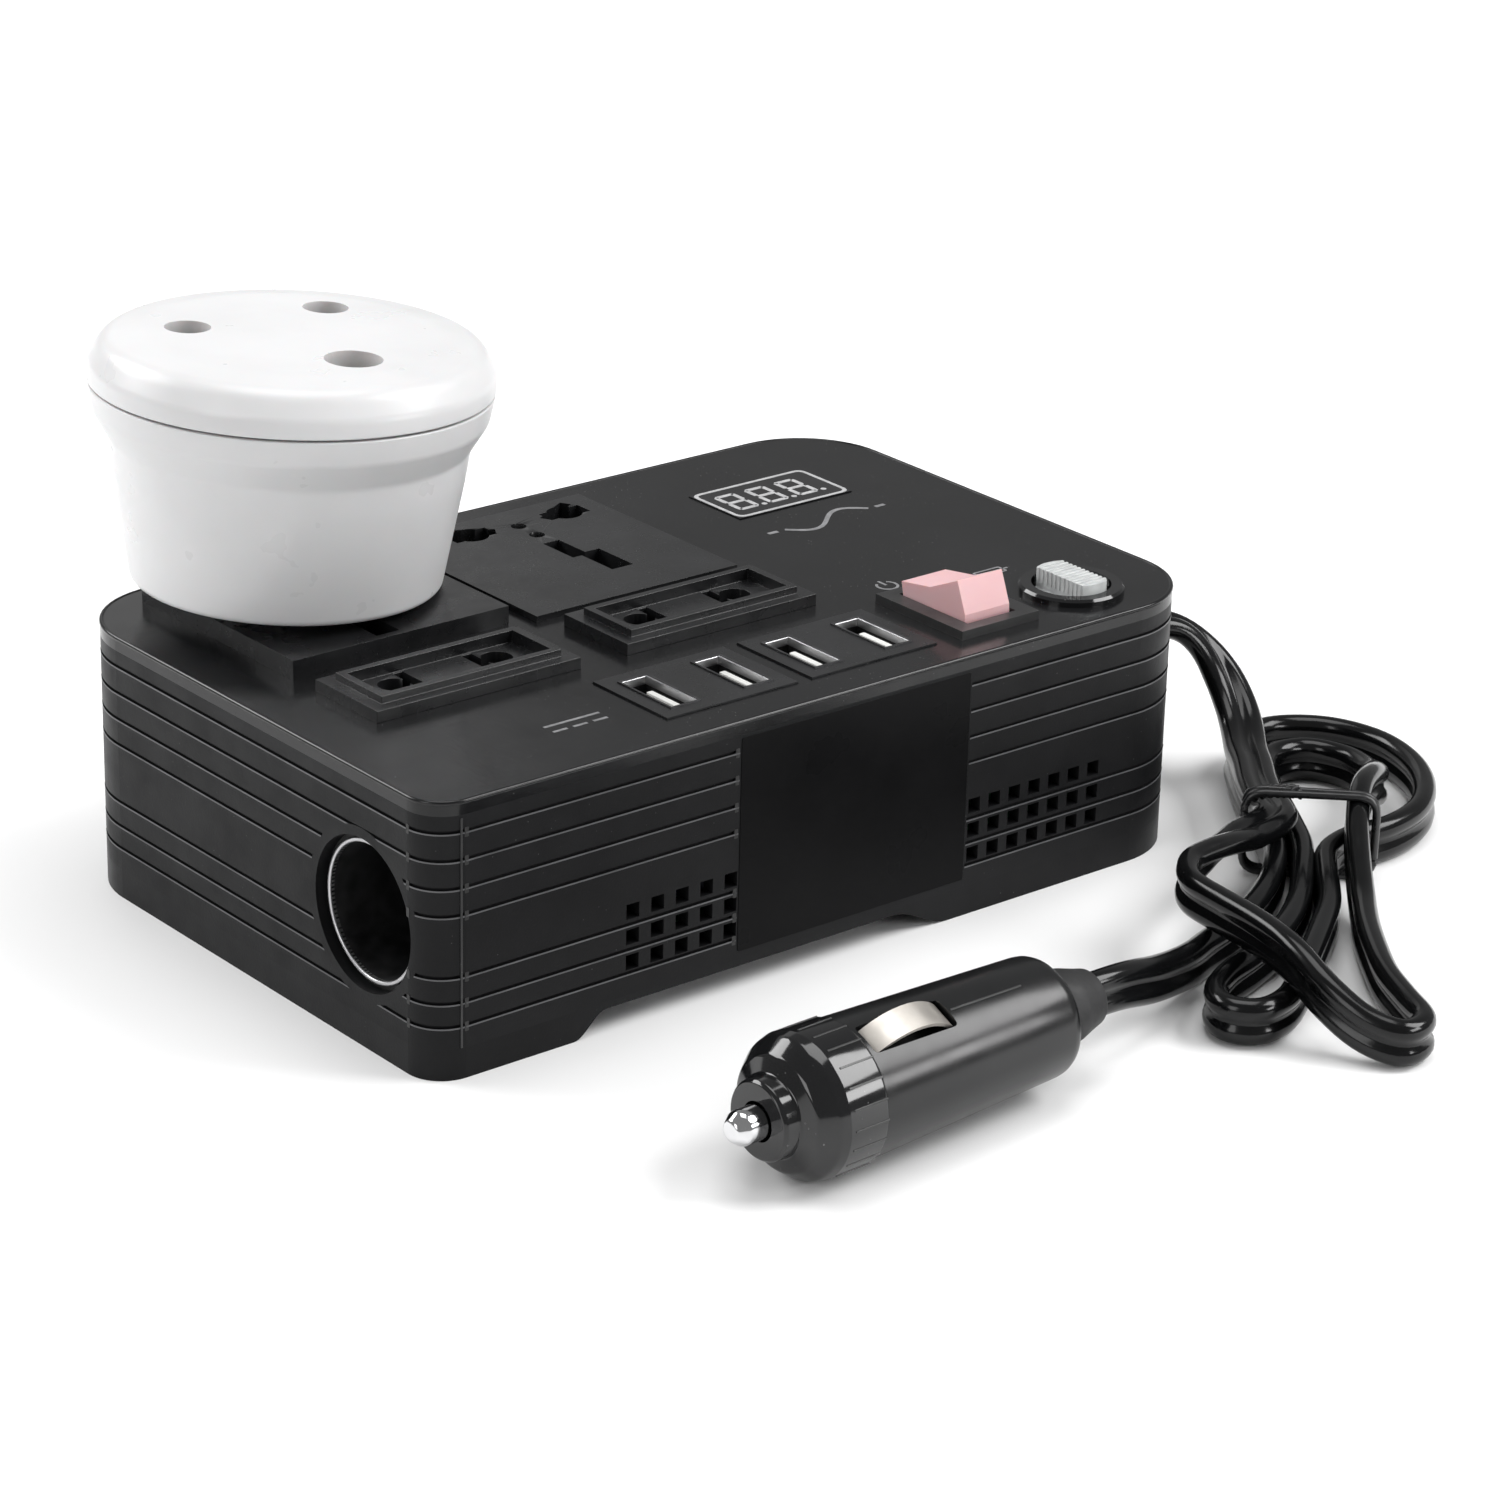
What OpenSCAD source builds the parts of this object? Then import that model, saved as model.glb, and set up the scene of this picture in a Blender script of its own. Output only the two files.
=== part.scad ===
// Compact power inverter: a shallow box with two universal sockets, two flat two-pin
// sockets, two twin USB blocks, a digital display, a rocker switch, a round fuse cap,
// a 12 V lighter socket, and a lead ending in a lighter plug.
// Millimetres, Z up, X to the right along the long front edge, Y into the depth.
// Every shape is drawn round the centre of the case's standing face. placed() then puts
// the origin in the middle of the floor area that the case and its adapter cover.

/* [Case] */
// length of the case along X
case_l = 153; // [148:1:170]
// depth of the case along Y
case_w = 98.5; // [96:0.5:110]
// height of the case from the floor to the top face
case_h = 43.7; // [42:0.1:50]
// wall thickness of the two shells
wall = 2.2; // [1.8:0.1:2.6]
// corner radius of the three far corners
corner_r = 15.5; // [12:0.5:18]
// corner radius of the corner beside the lighter socket
near_r = 6; // [4:0.5:8]
// height of the arch under the middle of the case
arch_h = 3.8; // [2:0.2:4.4]

/* [Vents] */
// side of one square vent hole
vent = 2.4; // [1.6:0.1:3]
// height between two rows of vent holes
vent_rows_pitch = 4.1; // [3.6:0.1:5]

/* [Adapter] */
// radius of the adapter's rim
adapter_r = 31.3; // [28:0.1:33]
// height of the adapter above its underside
adapter_h = 39.4; // [34:0.2:44]
// angle by which the adapter leans in its socket, in degrees
adapter_lean = 3; // [0:0.5:3]

/* [Switch] */
// angle of the rocker either side of level, in degrees
rocker_tilt = 17; // [8:1:18]

/* [Plug] */
// radius of the plug at its ribbed ring
plug_r = 10.9; // [10:0.1:11.2]
// radius of the plug body at its rear end
plug_rear_r = 9.2; // [8.5:0.1:10.5]
// direction of the plug on the floor, in degrees from X
plug_turn = 2; // [-5:1:5]

/* [Cord] */
// width of the flat twin lead
cord_w = 7.4; // [6:0.2:8]
// thickness of the flat twin lead
cord_t = 3.8; // [3:0.1:4.2]

/* [Hidden] */
$fn = 48;
// shift that brings the middle of case and adapter to the origin
origin_shift = [0, -6, 0];
// smallest clearance between parts that only stand next to each other
gap = 0.15;
// extra length of a cutter past the face it opens
cut = 1;

// levels of the seams between covers and shells
top_seam_z = case_h - 2.2;
mid_seam_z = case_h / 2;
low_seam_z = arch_h + 1.1;
floor_top_z = arch_h + 2.5;

// grooves round the shells, as fractions of the height down from the top face
upper_grooves = [0.107, 0.207, 0.307, 0.404];
lower_grooves = [0.625, 0.718, 0.804];
groove_deep = 0.45;
groove_high = 0.5;
// smooth label field on the front face, between these two X positions
panel_x = [-20.6, 25.3];

// sockets: centres of the two columns and of the rows
plate_size = [40, 42];
plate_a = [-44.7, 23.7];
plate_b = [-0.5, 22.1];
plate_a_up = 3.2;
plate_b_up = 1;
plate_body_inset = 2;
socket_deep = 18;
socket_floor = 1.6;
pin_span = 19;
pin_d = 4.8;
pins_b = [2.5, 37];
pocket = 9.6;

two_pin_size = [37.5, 16];
two_pin_step = [33, 12];
two_pin_well = [30.5, 9.6];
two_pin_a = [-45.6, -10.6];
two_pin_b = [0.9, -10.4];
two_pin_up = 1.9;
two_pin_top = 3.1;
two_pin_deep = 15;

usb_size = [25, 18];
usb_a = [-16.5, -33.4];
usb_b = [11.3, -33.4];
usb_spacing = 14;
usb_shell_size = [5.7, 13.1];
usb_shell_wall = 0.35;
usb_deep = 13;

display_size = [24, 13.5];
display_pos = [47.2, 26.4];
display_deep = 8;

switch_size = [16, 20.6];
switch_pos = [36, -33.3];
switch_up = 1.5;
switch_body = [13.6, 18.6];
switch_hole = [10, 16.2];
switch_deep = 14;
rocker_w = 9.2;
pivot_drop = 1.2;
pivot_d = 2;

fuse_pos = [57.3, -36.6];
fuse_rim_r = 8.5;
fuse_body_r = 7;
fuse_up = 1.2;
fuse_deep = 20;

// lighter socket in the left end
lighter_pos = [-32, 21.2];
lighter_hole_r = 12;
lighter_sleeve_r = 11.2;
lighter_bore_r = 10.5;
lighter_deep = 36;
lighter_cup_r = 13.2;

// case screws: X and Y of each post, and the length of the rib from it to the wall
posts = [[-66, 38.5], [66, 38.5], [70, -33.5], [-32.5, -43.4]];
post_ribs = [[-9, 0], [9, 0], [5, 0], [0, -4.5]];
rib_t = 1.6;
post_r = 3.2;
screw_r = 1.35;
screw_head_r = 2.7;
screw_head_h = 1.6;

// fan behind the grille of the right end
fan_size = 30;
fan_thick = 10;
fan_pos = [case_l / 2 - wall - gap - fan_thick / 2, 15, 23.5];
fan_bore_r = 14;
hub_r = 6;
blade_r = 13.3;
blade_count = 7;

// circuit board and what stands on it
board_z = 9;
board_t = 1.6;
board_top = board_z + board_t;

// adapter: X and Y of its underside's centre, and the height of that centre
adapter_pos = [-47.5, 30];
adapter_z = case_h + plate_a_up + 1.5;
adapter_seam = 31.5;
adapter_foot_r = 24.4;
adapter_neck_r = 27.5;
adapter_pin_l = 18;
type_m_span = 25.4;
type_m_drop = 26;
type_m_y = 10;
line_hole_r = 3.6;
earth_hole_r = 4.5;

// plug: position of its front tip on the floor, and lengths from the tip
plug_tip = [-64.3, -101.8];
plug_rest_z = plug_r;
nose_x = 5;
dome_x = 7.6;
ring_x = 12.4;
ring_end_x = 19.6;
body_end_x = 60;
relief_end_x = 69;
contact_x = [20.6, 36.6];
contact_turn = 65;
contact_t = 0.6;
contact_w = 4.4;
contact_foot_r = 9.1;
// how far the strips bulge: the upper one is free, the lower one is pressed by what it lies on
free_bow = 2.9;
pressed_bow = 1.9;

// lead: exit from the right end, and the route points (chosen round numbers)
exit_y = -22;
exit_z = 26;
bush_l = 12;
lead_points = [[88, -22, 26], [92, -22.4, 25.8], [96, -23.8, 24.2], [99, -26.4, 20.8],
    [100, -30, 16.8], [98.8, -34.6, 13.2], [96.2, -39, 10.8], [93, -43, 9.8]];
tail_points = [[40, -88.4, 4.2], [34, -91.2, 5], [27, -94, 6.4], [20, -96.6, 8.2],
    [13, -98.6, 10.2], [8, -99.4, 10.9], [4.2, -99.4, 10.9]];
hank_top_lobe = [102, -52];
hank_top_r = 24;
hank_front_lobe = [44, -120];
hank_front_r = 11;
hank_side_lobe = [31, -105];
hank_side_r = 8;
hank_h = 15.6;
tie_pos = [80, -70.6];
tie_turn = 46;
tie_size = [22, 15.2];
tie_t = 1.4;

// ---------- shared shapes ----------

// one corner cut away round an arc of radius r, in the quarter x > 0, y > 0
module corner_cut(l, w, r) {
    translate([l / 2 - r, w / 2 - r])
        difference() {
            square([r + cut, r + cut]);
            circle(r);
        }
}

// plan of the case, drawn in by the given inset
module outline(inset = 0) {
    l = case_l - 2 * inset;
    w = case_w - 2 * inset;
    far = corner_r - inset;
    near = max(near_r - inset, 1);
    difference() {
        square([l, w], center = true);
        corner_cut(l, w, far);
        mirror([1, 0]) corner_cut(l, w, far);
        mirror([0, 1]) corner_cut(l, w, far);
        rotate(180) corner_cut(l, w, near);
    }
}

// ring of the wall between two heights
module wall_ring(z0, z1, inset, thick) {
    translate([0, 0, z0])
        linear_extrude(z1 - z0)
            difference() {
                outline(inset);
                outline(inset + thick);
            }
}

// box standing on z0 and centred on a plan position
module block(pos, size, z0, z1) {
    translate([pos[0] - size[0] / 2, pos[1] - size[1] / 2, z0])
        cube([size[0], size[1], z1 - z0]);
}

// upright cylinder between two heights
module peg(pos, r, z0, z1) {
    translate([pos[0], pos[1], z0])
        cylinder(r = r, h = z1 - z0);
}

// cylinder along X between two positions
module rod_x(x0, x1, y, z, r) {
    translate([x0, y, z])
        rotate([0, 90, 0])
            cylinder(r = r, h = x1 - x0);
}

// ---------- case ----------

// screw posts between two heights, each joined to the wall beside it by a rib
module screw_posts(z0, z1) {
    for (i = [0:len(posts) - 1]) {
        reach = post_ribs[i];
        peg(posts[i], post_r, z0, z1);
        block(posts[i] + reach / 2, [max(abs(reach[0]), rib_t), max(abs(reach[1]), rib_t)], z0, z1);
    }
}

// grooves round a shell, left out on the label field and round the lighter socket
module grooves(levels) {
    difference() {
        for (level = levels)
            translate([0, 0, case_h * (1 - level) - groove_high / 2])
                linear_extrude(groove_high)
                    difference() {
                        outline(-cut);
                        outline(groove_deep);
                    }
        translate([panel_x[0], -case_w / 2 - 2 * cut, 0])
            cube([panel_x[1] - panel_x[0], 4 * cut, case_h]);
        rod_x(-case_l / 2 - 2 * cut, -case_l / 2 + 2 * cut, lighter_pos[0], lighter_pos[1],
            lighter_hole_r + 1.6);
    }
}

// square vent holes through the front and back walls
module vents(first_x, last_x, count) {
    step = (last_x - first_x) / (count - 1);
    for (row = [0:2])
        for (i = [0:count - 1])
            translate([first_x + i * step - vent / 2, -case_w, 9 + row * vent_rows_pitch])
                cube([vent, 2 * case_w, vent]);
}

// upright slots in front of the fan
module fan_slots() {
    for (i = [-3:3])
        translate([case_l / 2 - 2 * wall, fan_pos[1] + 4 * i - 1.1, fan_pos[2] - 11])
            cube([3 * wall, 2.2, 22]);
}

module lighter_opening() {
    rod_x(-case_l / 2 - cut, -case_l / 2 + 2 * wall, lighter_pos[0], lighter_pos[1],
        lighter_hole_r);
}

module lead_opening() {
    rod_x(case_l / 2 - 2 * wall, case_l / 2 + cut, exit_y, exit_z, 4.6);
}

module top_cover() {
    color("#17181a")
    difference() {
        union() {
            translate([0, 0, top_seam_z])
                linear_extrude(case_h - top_seam_z)
                    outline();
            wall_ring(top_seam_z - 3, top_seam_z, wall + gap, 1.2);
        }
        for (p = [plate_a, plate_b])
            block(p, [for (s = plate_size) s - 2 * plate_body_inset + 2 * gap],
                top_seam_z - cut, case_h + cut);
        for (p = [two_pin_a, two_pin_b])
            block(p, [for (s = two_pin_step) s + 2 * gap], top_seam_z - cut, case_h + cut);
        for (p = [usb_a, usb_b])
            block(p, [for (s = usb_size) s + 2 * gap], top_seam_z - 5, case_h + cut);
        block(display_pos, [for (s = display_size) s + 2 * gap], top_seam_z - cut, case_h + cut);
        block(switch_pos, [for (s = switch_body) s + 2 * gap], top_seam_z - cut, case_h + cut);
        peg(fuse_pos, fuse_body_r + gap, top_seam_z - cut, case_h + cut);
    }
}

module upper_shell() {
    color("#1b1c1e")
    difference() {
        union() {
            wall_ring(mid_seam_z, top_seam_z, 0, wall);
            screw_posts(mid_seam_z, top_seam_z - 3 - gap);
        }
        grooves(upper_grooves);
        lighter_opening();
        lead_opening();
        fan_slots();
        for (p = posts)
            peg(p, screw_r + 0.1, mid_seam_z - cut, mid_seam_z + 9);
    }
}

module lower_shell() {
    color("#1b1c1e")
    difference() {
        union() {
            wall_ring(low_seam_z, mid_seam_z, 0, wall);
            screw_posts(floor_top_z + gap, mid_seam_z);
        }
        grooves(lower_grooves);
        lighter_opening();
        lead_opening();
        fan_slots();
        vents(-40.3, -21.8, 5);
        vents(26.8, 52, 7);
        for (p = posts)
            peg(p, screw_r + 0.3, floor_top_z - cut, mid_seam_z + cut);
    }
}

// side view of the arch: flat feet at both ends, joined to the arch by S-curves
function s_curve(x0, x1, z0, z1) =
    [for (i = [0:10]) [x0 + (x1 - x0) * i / 10, z0 + (z1 - z0) * (1 - cos(18 * i)) / 2]];

module arch() {
    rotate([90, 0, 0])
        linear_extrude(2 * case_w, center = true)
            polygon(concat([[-51, -cut]], s_curve(-51, -45, 0, arch_h),
                s_curve(11, 22, arch_h, 0), [[22, -cut]]));
}

module bottom_cover() {
    color("#1b1c1e")
    difference() {
        union() {
            linear_extrude(low_seam_z)
                outline();
            translate([0, 0, low_seam_z])
                linear_extrude(floor_top_z - low_seam_z)
                    outline(wall + gap);
            for (p = [[-60, 10], [20, 40], [20, -14], [60, 5]])
                peg(p, 3, floor_top_z, board_z);
        }
        arch();
        // counterbore and clearance hole of each case screw
        for (p = posts) {
            peg(p, screw_head_r + 0.3, -cut, arch_h + screw_head_h);
            peg(p, screw_r + 0.3, 0, floor_top_z + cut);
        }
    }
}

// four identical screws, heads down
module case_screws() {
    color("#8d9094")
    for (p = posts)
        difference() {
            union() {
                peg(p, screw_head_r, arch_h, arch_h + screw_head_h);
                peg(p, screw_r, arch_h, mid_seam_z + 8);
            }
            block(p, [3.4, 0.8], arch_h - cut, arch_h + 0.8);
            block(p, [0.8, 3.4], arch_h - cut, arch_h + 0.8);
        }
}

// ---------- universal sockets ----------

// opening for one live pin: round hole, flat blade and slanted blade together
module live_hole(side) {
    circle(d = 6);
    square([8, 3.6], center = true);
    rotate(30 * side)
        translate([0, 1.6])
            square([8.4, 2], center = true);
}

// plan of every opening of a universal socket, round the middle of its live pins
module universal_holes() {
    translate([-pin_span / 2, 0])
        live_hole(-1);
    translate([pin_span / 2, 0])
        live_hole(1);
    for (y = [-1, -6])
        translate([-0.6, y])
            circle(d = 2.6);
    translate([-2.4, -18])
        square([3.2, 8]);
    translate([-0.6, -26])
        square([4.2, 9]);
}

module universal_socket(plate, up, pins) {
    body = [for (s = plate_size) s - 2 * plate_body_inset];
    floor_z = case_h - socket_deep;
    difference() {
        union() {
            block(plate, plate_size, case_h, case_h + up);
            block(plate, body, floor_z, case_h);
        }
        translate([pins[0], pins[1], case_h - 1.5])
            linear_extrude(up + 1.5 + cut)
                universal_holes();
        for (side = [-1, 1])
            block([pins[0] + side * pin_span / 2, pins[1]], [pocket, pocket - 2.2],
                floor_z + socket_floor, case_h - 1.5);
        block([pins[0] + 1, pins[1] - 18], [8.6, 17.6], floor_z + socket_floor, case_h - 1.5);
    }
}

// the live pins of socket A are where the leaning adapter's pins come down
pins_a = [adapter_pos[0] - (adapter_z - case_h + 5) * tan(adapter_lean), adapter_pos[1]];

module socket_a() {
    color("#141517")
    universal_socket(plate_a, plate_a_up, pins_a);
}

module socket_b() {
    color("#141517")
    universal_socket(plate_b, plate_b_up, pins_b);
}

// two brass leaves either side of each live pin, and one pair for the earth pin
module socket_contacts() {
    leaf_h = 13;
    leaf_z = case_h - socket_deep + socket_floor;
    color("#b98d3a")
    for (pins = [pins_a, pins_b]) {
        for (side = [-1, 1])
            for (face = [-1, 1])
                block([pins[0] + side * pin_span / 2, pins[1] + face * 3.3], [6, 0.5],
                    leaf_z, leaf_z + leaf_h);
        for (face = [-1, 1])
            block([pins[0] + 1.5 + face * 3.1, pins[1] - 21.5], [0.5, 7], leaf_z, leaf_z + leaf_h);
    }
}

// ---------- two-pin sockets ----------

// one opening: round pin hole with a flat blade slot on its inner side
module two_pin_hole(side) {
    circle(d = 4.9);
    translate([-side * 3.2, 0])
        square([1.7, 7], center = true);
    translate([-side * 1.6, 0])
        square([3.2, 2], center = true);
}

module two_pin(pos) {
    hole_y = pos[1] + 0.9;
    floor_z = case_h - two_pin_deep;
    difference() {
        union() {
            block(pos, two_pin_size, case_h, case_h + two_pin_up);
            block(pos, two_pin_step, floor_z, case_h + two_pin_top);
        }
        block(pos, two_pin_well, case_h + 1.2, case_h + two_pin_top + cut);
        for (side = [-1, 1]) {
            translate([pos[0] + side * pin_span / 2, hole_y, case_h - cut])
                linear_extrude(2.2 + cut)
                    two_pin_hole(side);
            block([pos[0] + side * (pin_span / 2 - 1), hole_y], [7.4, 8], floor_z + 1.6,
                case_h - 0.8);
        }
    }
}

module two_pin_sockets() {
    color("#141517") {
        two_pin(two_pin_a);
        two_pin(two_pin_b);
    }
}

module two_pin_contacts() {
    color("#b98d3a")
    for (pos = [two_pin_a, two_pin_b])
        for (side = [-1, 1])
            for (face = [-1, 1])
                block([pos[0] + side * (pin_span / 2 - 1), pos[1] + 0.9 + face * 3.2],
                    [5, 0.5], case_h - two_pin_deep + 1.6, case_h - 3);
}

// ---------- USB blocks ----------

// centres of the four USB ports
usb_ports = [for (p = [usb_a, usb_b]) for (side = [-1, 1]) [p[0] + side * usb_spacing / 2, p[1]]];

module usb_blocks() {
    color("#141517")
    for (p = [usb_a, usb_b])
        difference() {
            block(p, usb_size, case_h - usb_deep, case_h + 0.3);
            for (port = usb_ports)
                block(port, usb_shell_size, case_h - usb_deep + 1.5, case_h + cut);
        }
}

module usb_shells() {
    inner = [for (s = usb_shell_size) s - 2 * usb_shell_wall];
    color("#c9ccd0")
    for (port = usb_ports)
        difference() {
            block(port, usb_shell_size, case_h - usb_deep + 1.5, case_h + 0.5);
            block(port, inner, case_h - usb_deep + 2, case_h + cut);
        }
}

module usb_tongues() {
    color("#e6e6e2")
    for (port = usb_ports)
        block([port[0] - 1.2, port[1]], [1.9, 11.2], case_h - usb_deep + 2, case_h - 1.4);
}

// ---------- display ----------

module display_window() {
    color("#2c2f33")
    block(display_pos, display_size, case_h - 1.2, case_h + 0.2);
}

module display_module() {
    color("#e8e8e4")
    union() {
        block(display_pos, [22.8, 12.6], case_h - display_deep, case_h - 1.2 - gap);
        block(display_pos, [26, 15.5], case_h - display_deep - 1.2, case_h - display_deep);
    }
}

// ---------- rocker switch ----------

pivot_z = case_h + switch_up - pivot_drop;

module switch_frame() {
    floor_z = case_h - switch_deep;
    color("#1a1b1d")
    difference() {
        union() {
            block(switch_pos, switch_size, case_h, case_h + switch_up);
            block(switch_pos, switch_body, floor_z, case_h);
        }
        block(switch_pos, switch_hole, floor_z + 1.5, case_h + switch_up + cut);
        for (side = [-1, 1])
            translate([switch_pos[0] + side * (switch_hole[0] / 2 + 0.4), switch_pos[1], pivot_z])
                rotate([0, 90, 0])
                    cylinder(d = pivot_d + 0.16, h = 1.6, center = true);
    }
}

module switch_terminals() {
    color("#b98d3a")
    for (dy = [-6, 0, 6])
        block([switch_pos[0], switch_pos[1] + dy], [4.8, 0.8], case_h - switch_deep - 7,
            case_h - switch_deep);
}

// side view of the paddle, round its pivot: a shallow V between two upright ends
module paddle_side() {
    polygon([[-7.3, 0], [-6.8, 5.45], [0, 4.5], [6.8, 5.45], [7.3, 0], [6.6, -3], [-6.6, -3]]);
}

module power_rocker() {
    color("#e99a9c")
    translate([switch_pos[0], switch_pos[1], pivot_z])
        rotate([-rocker_tilt, 0, 0]) {
            rotate([90, 0, 90])
                linear_extrude(rocker_w, center = true)
                    paddle_side();
            rotate([0, 90, 0])
                cylinder(d = pivot_d, h = rocker_w + 1.8, center = true);
        }
}

// ---------- fuse ----------

module fuse_holder() {
    floor_z = case_h - fuse_deep;
    color("#141517")
    translate([fuse_pos[0], fuse_pos[1], 0])
        rotate_extrude()
            polygon([[0, floor_z], [fuse_body_r, floor_z], [fuse_body_r, case_h],
                [fuse_rim_r, case_h], [fuse_rim_r, case_h + fuse_up - 0.4],
                [fuse_rim_r - 0.4, case_h + fuse_up], [fuse_body_r - 0.6, case_h + fuse_up],
                [fuse_body_r - 0.6, case_h - 3], [4.2, case_h - 3], [4.2, floor_z + 1.5],
                [0, floor_z + 1.5]]);
}

module fuse() {
    z0 = case_h - fuse_deep + 1.5;
    color("#dfe3e6")
    union() {
        peg(fuse_pos, 2.6, z0, z0 + 4);
        peg(fuse_pos, 2.4, z0 + 4, z0 + 9);
        peg(fuse_pos, 2.6, z0 + 9, z0 + 13);
    }
}

// clear cap: a disc in the well with a finger bar across it
module fuse_cap() {
    color("#e3e8ec")
    translate([fuse_pos[0], fuse_pos[1], case_h - 3 + 0.3]) {
        cylinder(r = fuse_body_r - 1, h = 2.2);
        translate([0, 0, 2.2])
            intersection() {
                translate([-2.6, -6, -cut])
                    cube([5.2, 12, 3.2 + cut]);
                cylinder(r = fuse_body_r - 1, h = 3.4);
            }
    }
}

// ---------- lighter socket ----------

lighter_front_x = -case_l / 2 + wall;

module lighter_cup() {
    color("#101113")
    difference() {
        rod_x(lighter_front_x, lighter_front_x + lighter_deep, lighter_pos[0], lighter_pos[1],
            lighter_cup_r);
        rod_x(lighter_front_x - cut, lighter_front_x + lighter_deep - 2, lighter_pos[0],
            lighter_pos[1], lighter_sleeve_r);
        rod_x(lighter_front_x, lighter_front_x + 2 * lighter_deep, lighter_pos[0],
            lighter_pos[1], 2);
    }
}

module lighter_sleeve() {
    color("#d4d6d8")
    difference() {
        rod_x(lighter_front_x - 0.4, lighter_front_x + lighter_deep - 2, lighter_pos[0],
            lighter_pos[1], lighter_sleeve_r);
        rod_x(lighter_front_x - cut, lighter_front_x + lighter_deep - 3, lighter_pos[0],
            lighter_pos[1], lighter_bore_r);
        rod_x(lighter_front_x, lighter_front_x + 2 * lighter_deep, lighter_pos[0],
            lighter_pos[1], 5);
    }
}

module lighter_contact() {
    back_x = lighter_front_x + lighter_deep;
    color("#c9a24a")
    union() {
        rod_x(back_x - 2.9, back_x - 2, lighter_pos[0], lighter_pos[1], 4);
        rod_x(back_x - 2, back_x + 4, lighter_pos[0], lighter_pos[1], 1.9);
    }
}

// ---------- inside the case ----------

module main_board() {
    color("#2e5a34")
    difference() {
        translate([0, 0, board_z])
            linear_extrude(board_t)
                polygon([[-70, -14], [-28, -14], [-28, -40], [60, -40], [60, 44], [-56, 44],
                    [-70, 30]]);
        for (p = [[-60, 10], [20, 40], [20, -14], [60, 5]])
            peg(p, 1.5, board_z - cut, board_top + cut);
        for (p = posts)
            peg(p, post_r + 1, board_z - cut, board_top + cut);
    }
}

module transformer_core() {
    color("#3b3d40")
    difference() {
        block([38, 10], [32, 30], board_top, board_top + 22);
        for (side = [-1, 1])
            block([38 + side * 9.5, 10], [8, 30 + 2 * cut], board_top + 4, board_top + 18);
    }
}

module transformer_winding() {
    color("#c48a2e")
    difference() {
        block([38, 10], [26.6, 22], board_top + 4.2, board_top + 17.8);
        block([38, 10], [11.2, 22 + 2 * cut], board_top + 4, board_top + 18);
    }
}

module choke() {
    color("#b5762a")
    translate([48, -16, board_top + 4.6])
        rotate_extrude()
            translate([7, 0])
                circle(r = 3.4);
}

module capacitors() {
    color("#26282c")
    for (x = [-16, 0, 14])
        peg([x, -34], 5, board_top, board_top + 14);
}

// two finned sinks in a row along the back of the board
module heat_sinks() {
    color("#9da1a6")
    for (x = [-36, 2]) {
        block([x, 38], [30, 2], board_top, board_top + 12);
        for (i = [-3:3])
            block([x + 4 * i, 33.5], [1.2, 7], board_top, board_top + 12);
    }
}

// two power transistors on the flat side of each sink
module transistors() {
    color("#1d1e20")
    for (x = [-42, -30, -4, 8])
        block([x, 41.2], [10, 4.4], board_top, board_top + 11);
}

// ---------- fan ----------

module fan_frame() {
    x0 = fan_pos[0] - fan_thick / 2;
    color("#121315")
    difference() {
        union() {
            difference() {
                translate([x0, fan_pos[1] - fan_size / 2, fan_pos[2] - fan_size / 2])
                    cube([fan_thick, fan_size, fan_size]);
                rod_x(x0 - cut, x0 + fan_thick + cut, fan_pos[1], fan_pos[2], fan_bore_r);
            }
            rod_x(x0, x0 + 1.5, fan_pos[1], fan_pos[2], hub_r);
            for (a = [30, 150, 270])
                translate([x0, fan_pos[1], fan_pos[2]])
                    rotate([a, 0, 0])
                        translate([0, -1, hub_r - 1])
                            cube([1.5, 2, fan_bore_r - hub_r + 1.6]);
        }
        rod_x(x0 - cut, x0 + 2 * cut, fan_pos[1], fan_pos[2], 1.05);
    }
}

module fan_rotor() {
    x0 = fan_pos[0] - fan_thick / 2;
    color("#1d1e21")
    union() {
        rod_x(x0 + 2, x0 + 9, fan_pos[1], fan_pos[2], hub_r);
        rod_x(x0 + 0.3, x0 + 2, fan_pos[1], fan_pos[2], 1);
        for (i = [0:blade_count - 1])
            translate([x0 + 5.5, fan_pos[1], fan_pos[2]])
                rotate([i * 360 / blade_count, 0, 0])
                    intersection() {
                        translate([0, 0, hub_r - 0.5])
                            rotate([0, 0, 38])
                                translate([-0.6, -4, 0])
                                    cube([1.2, 8, blade_r - hub_r]);
                        rod_x(-3.4, 3.4, 0, 0, blade_r);
                    }
    }
}

// ---------- lead ----------

module cord_bush() {
    color("#0f1011")
    translate([case_l / 2, exit_y, exit_z])
        rotate([0, 90, 0]) {
            rotate_extrude()
                polygon([[0, -wall - 1.6], [5.8, -wall - 1.6], [5.8, -wall], [4.5, -wall],
                    [4.5, 0], [6, 0], [6, 1.4], [5, 2], [4.2, bush_l - 1], [3.8, bush_l - 0.5],
                    [0, bush_l - 0.5]]);
        }
}

// direction of the route at point i
function along(pts, i) =
    let (d = pts[min(i + 1, len(pts) - 1)] - pts[max(i - 1, 0)]) d / norm(d);

// level direction across the route at point i
function across(pts, i) =
    let (d = along(pts, i), s = [d[1], -d[0], 0]) s / norm(s);

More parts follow.
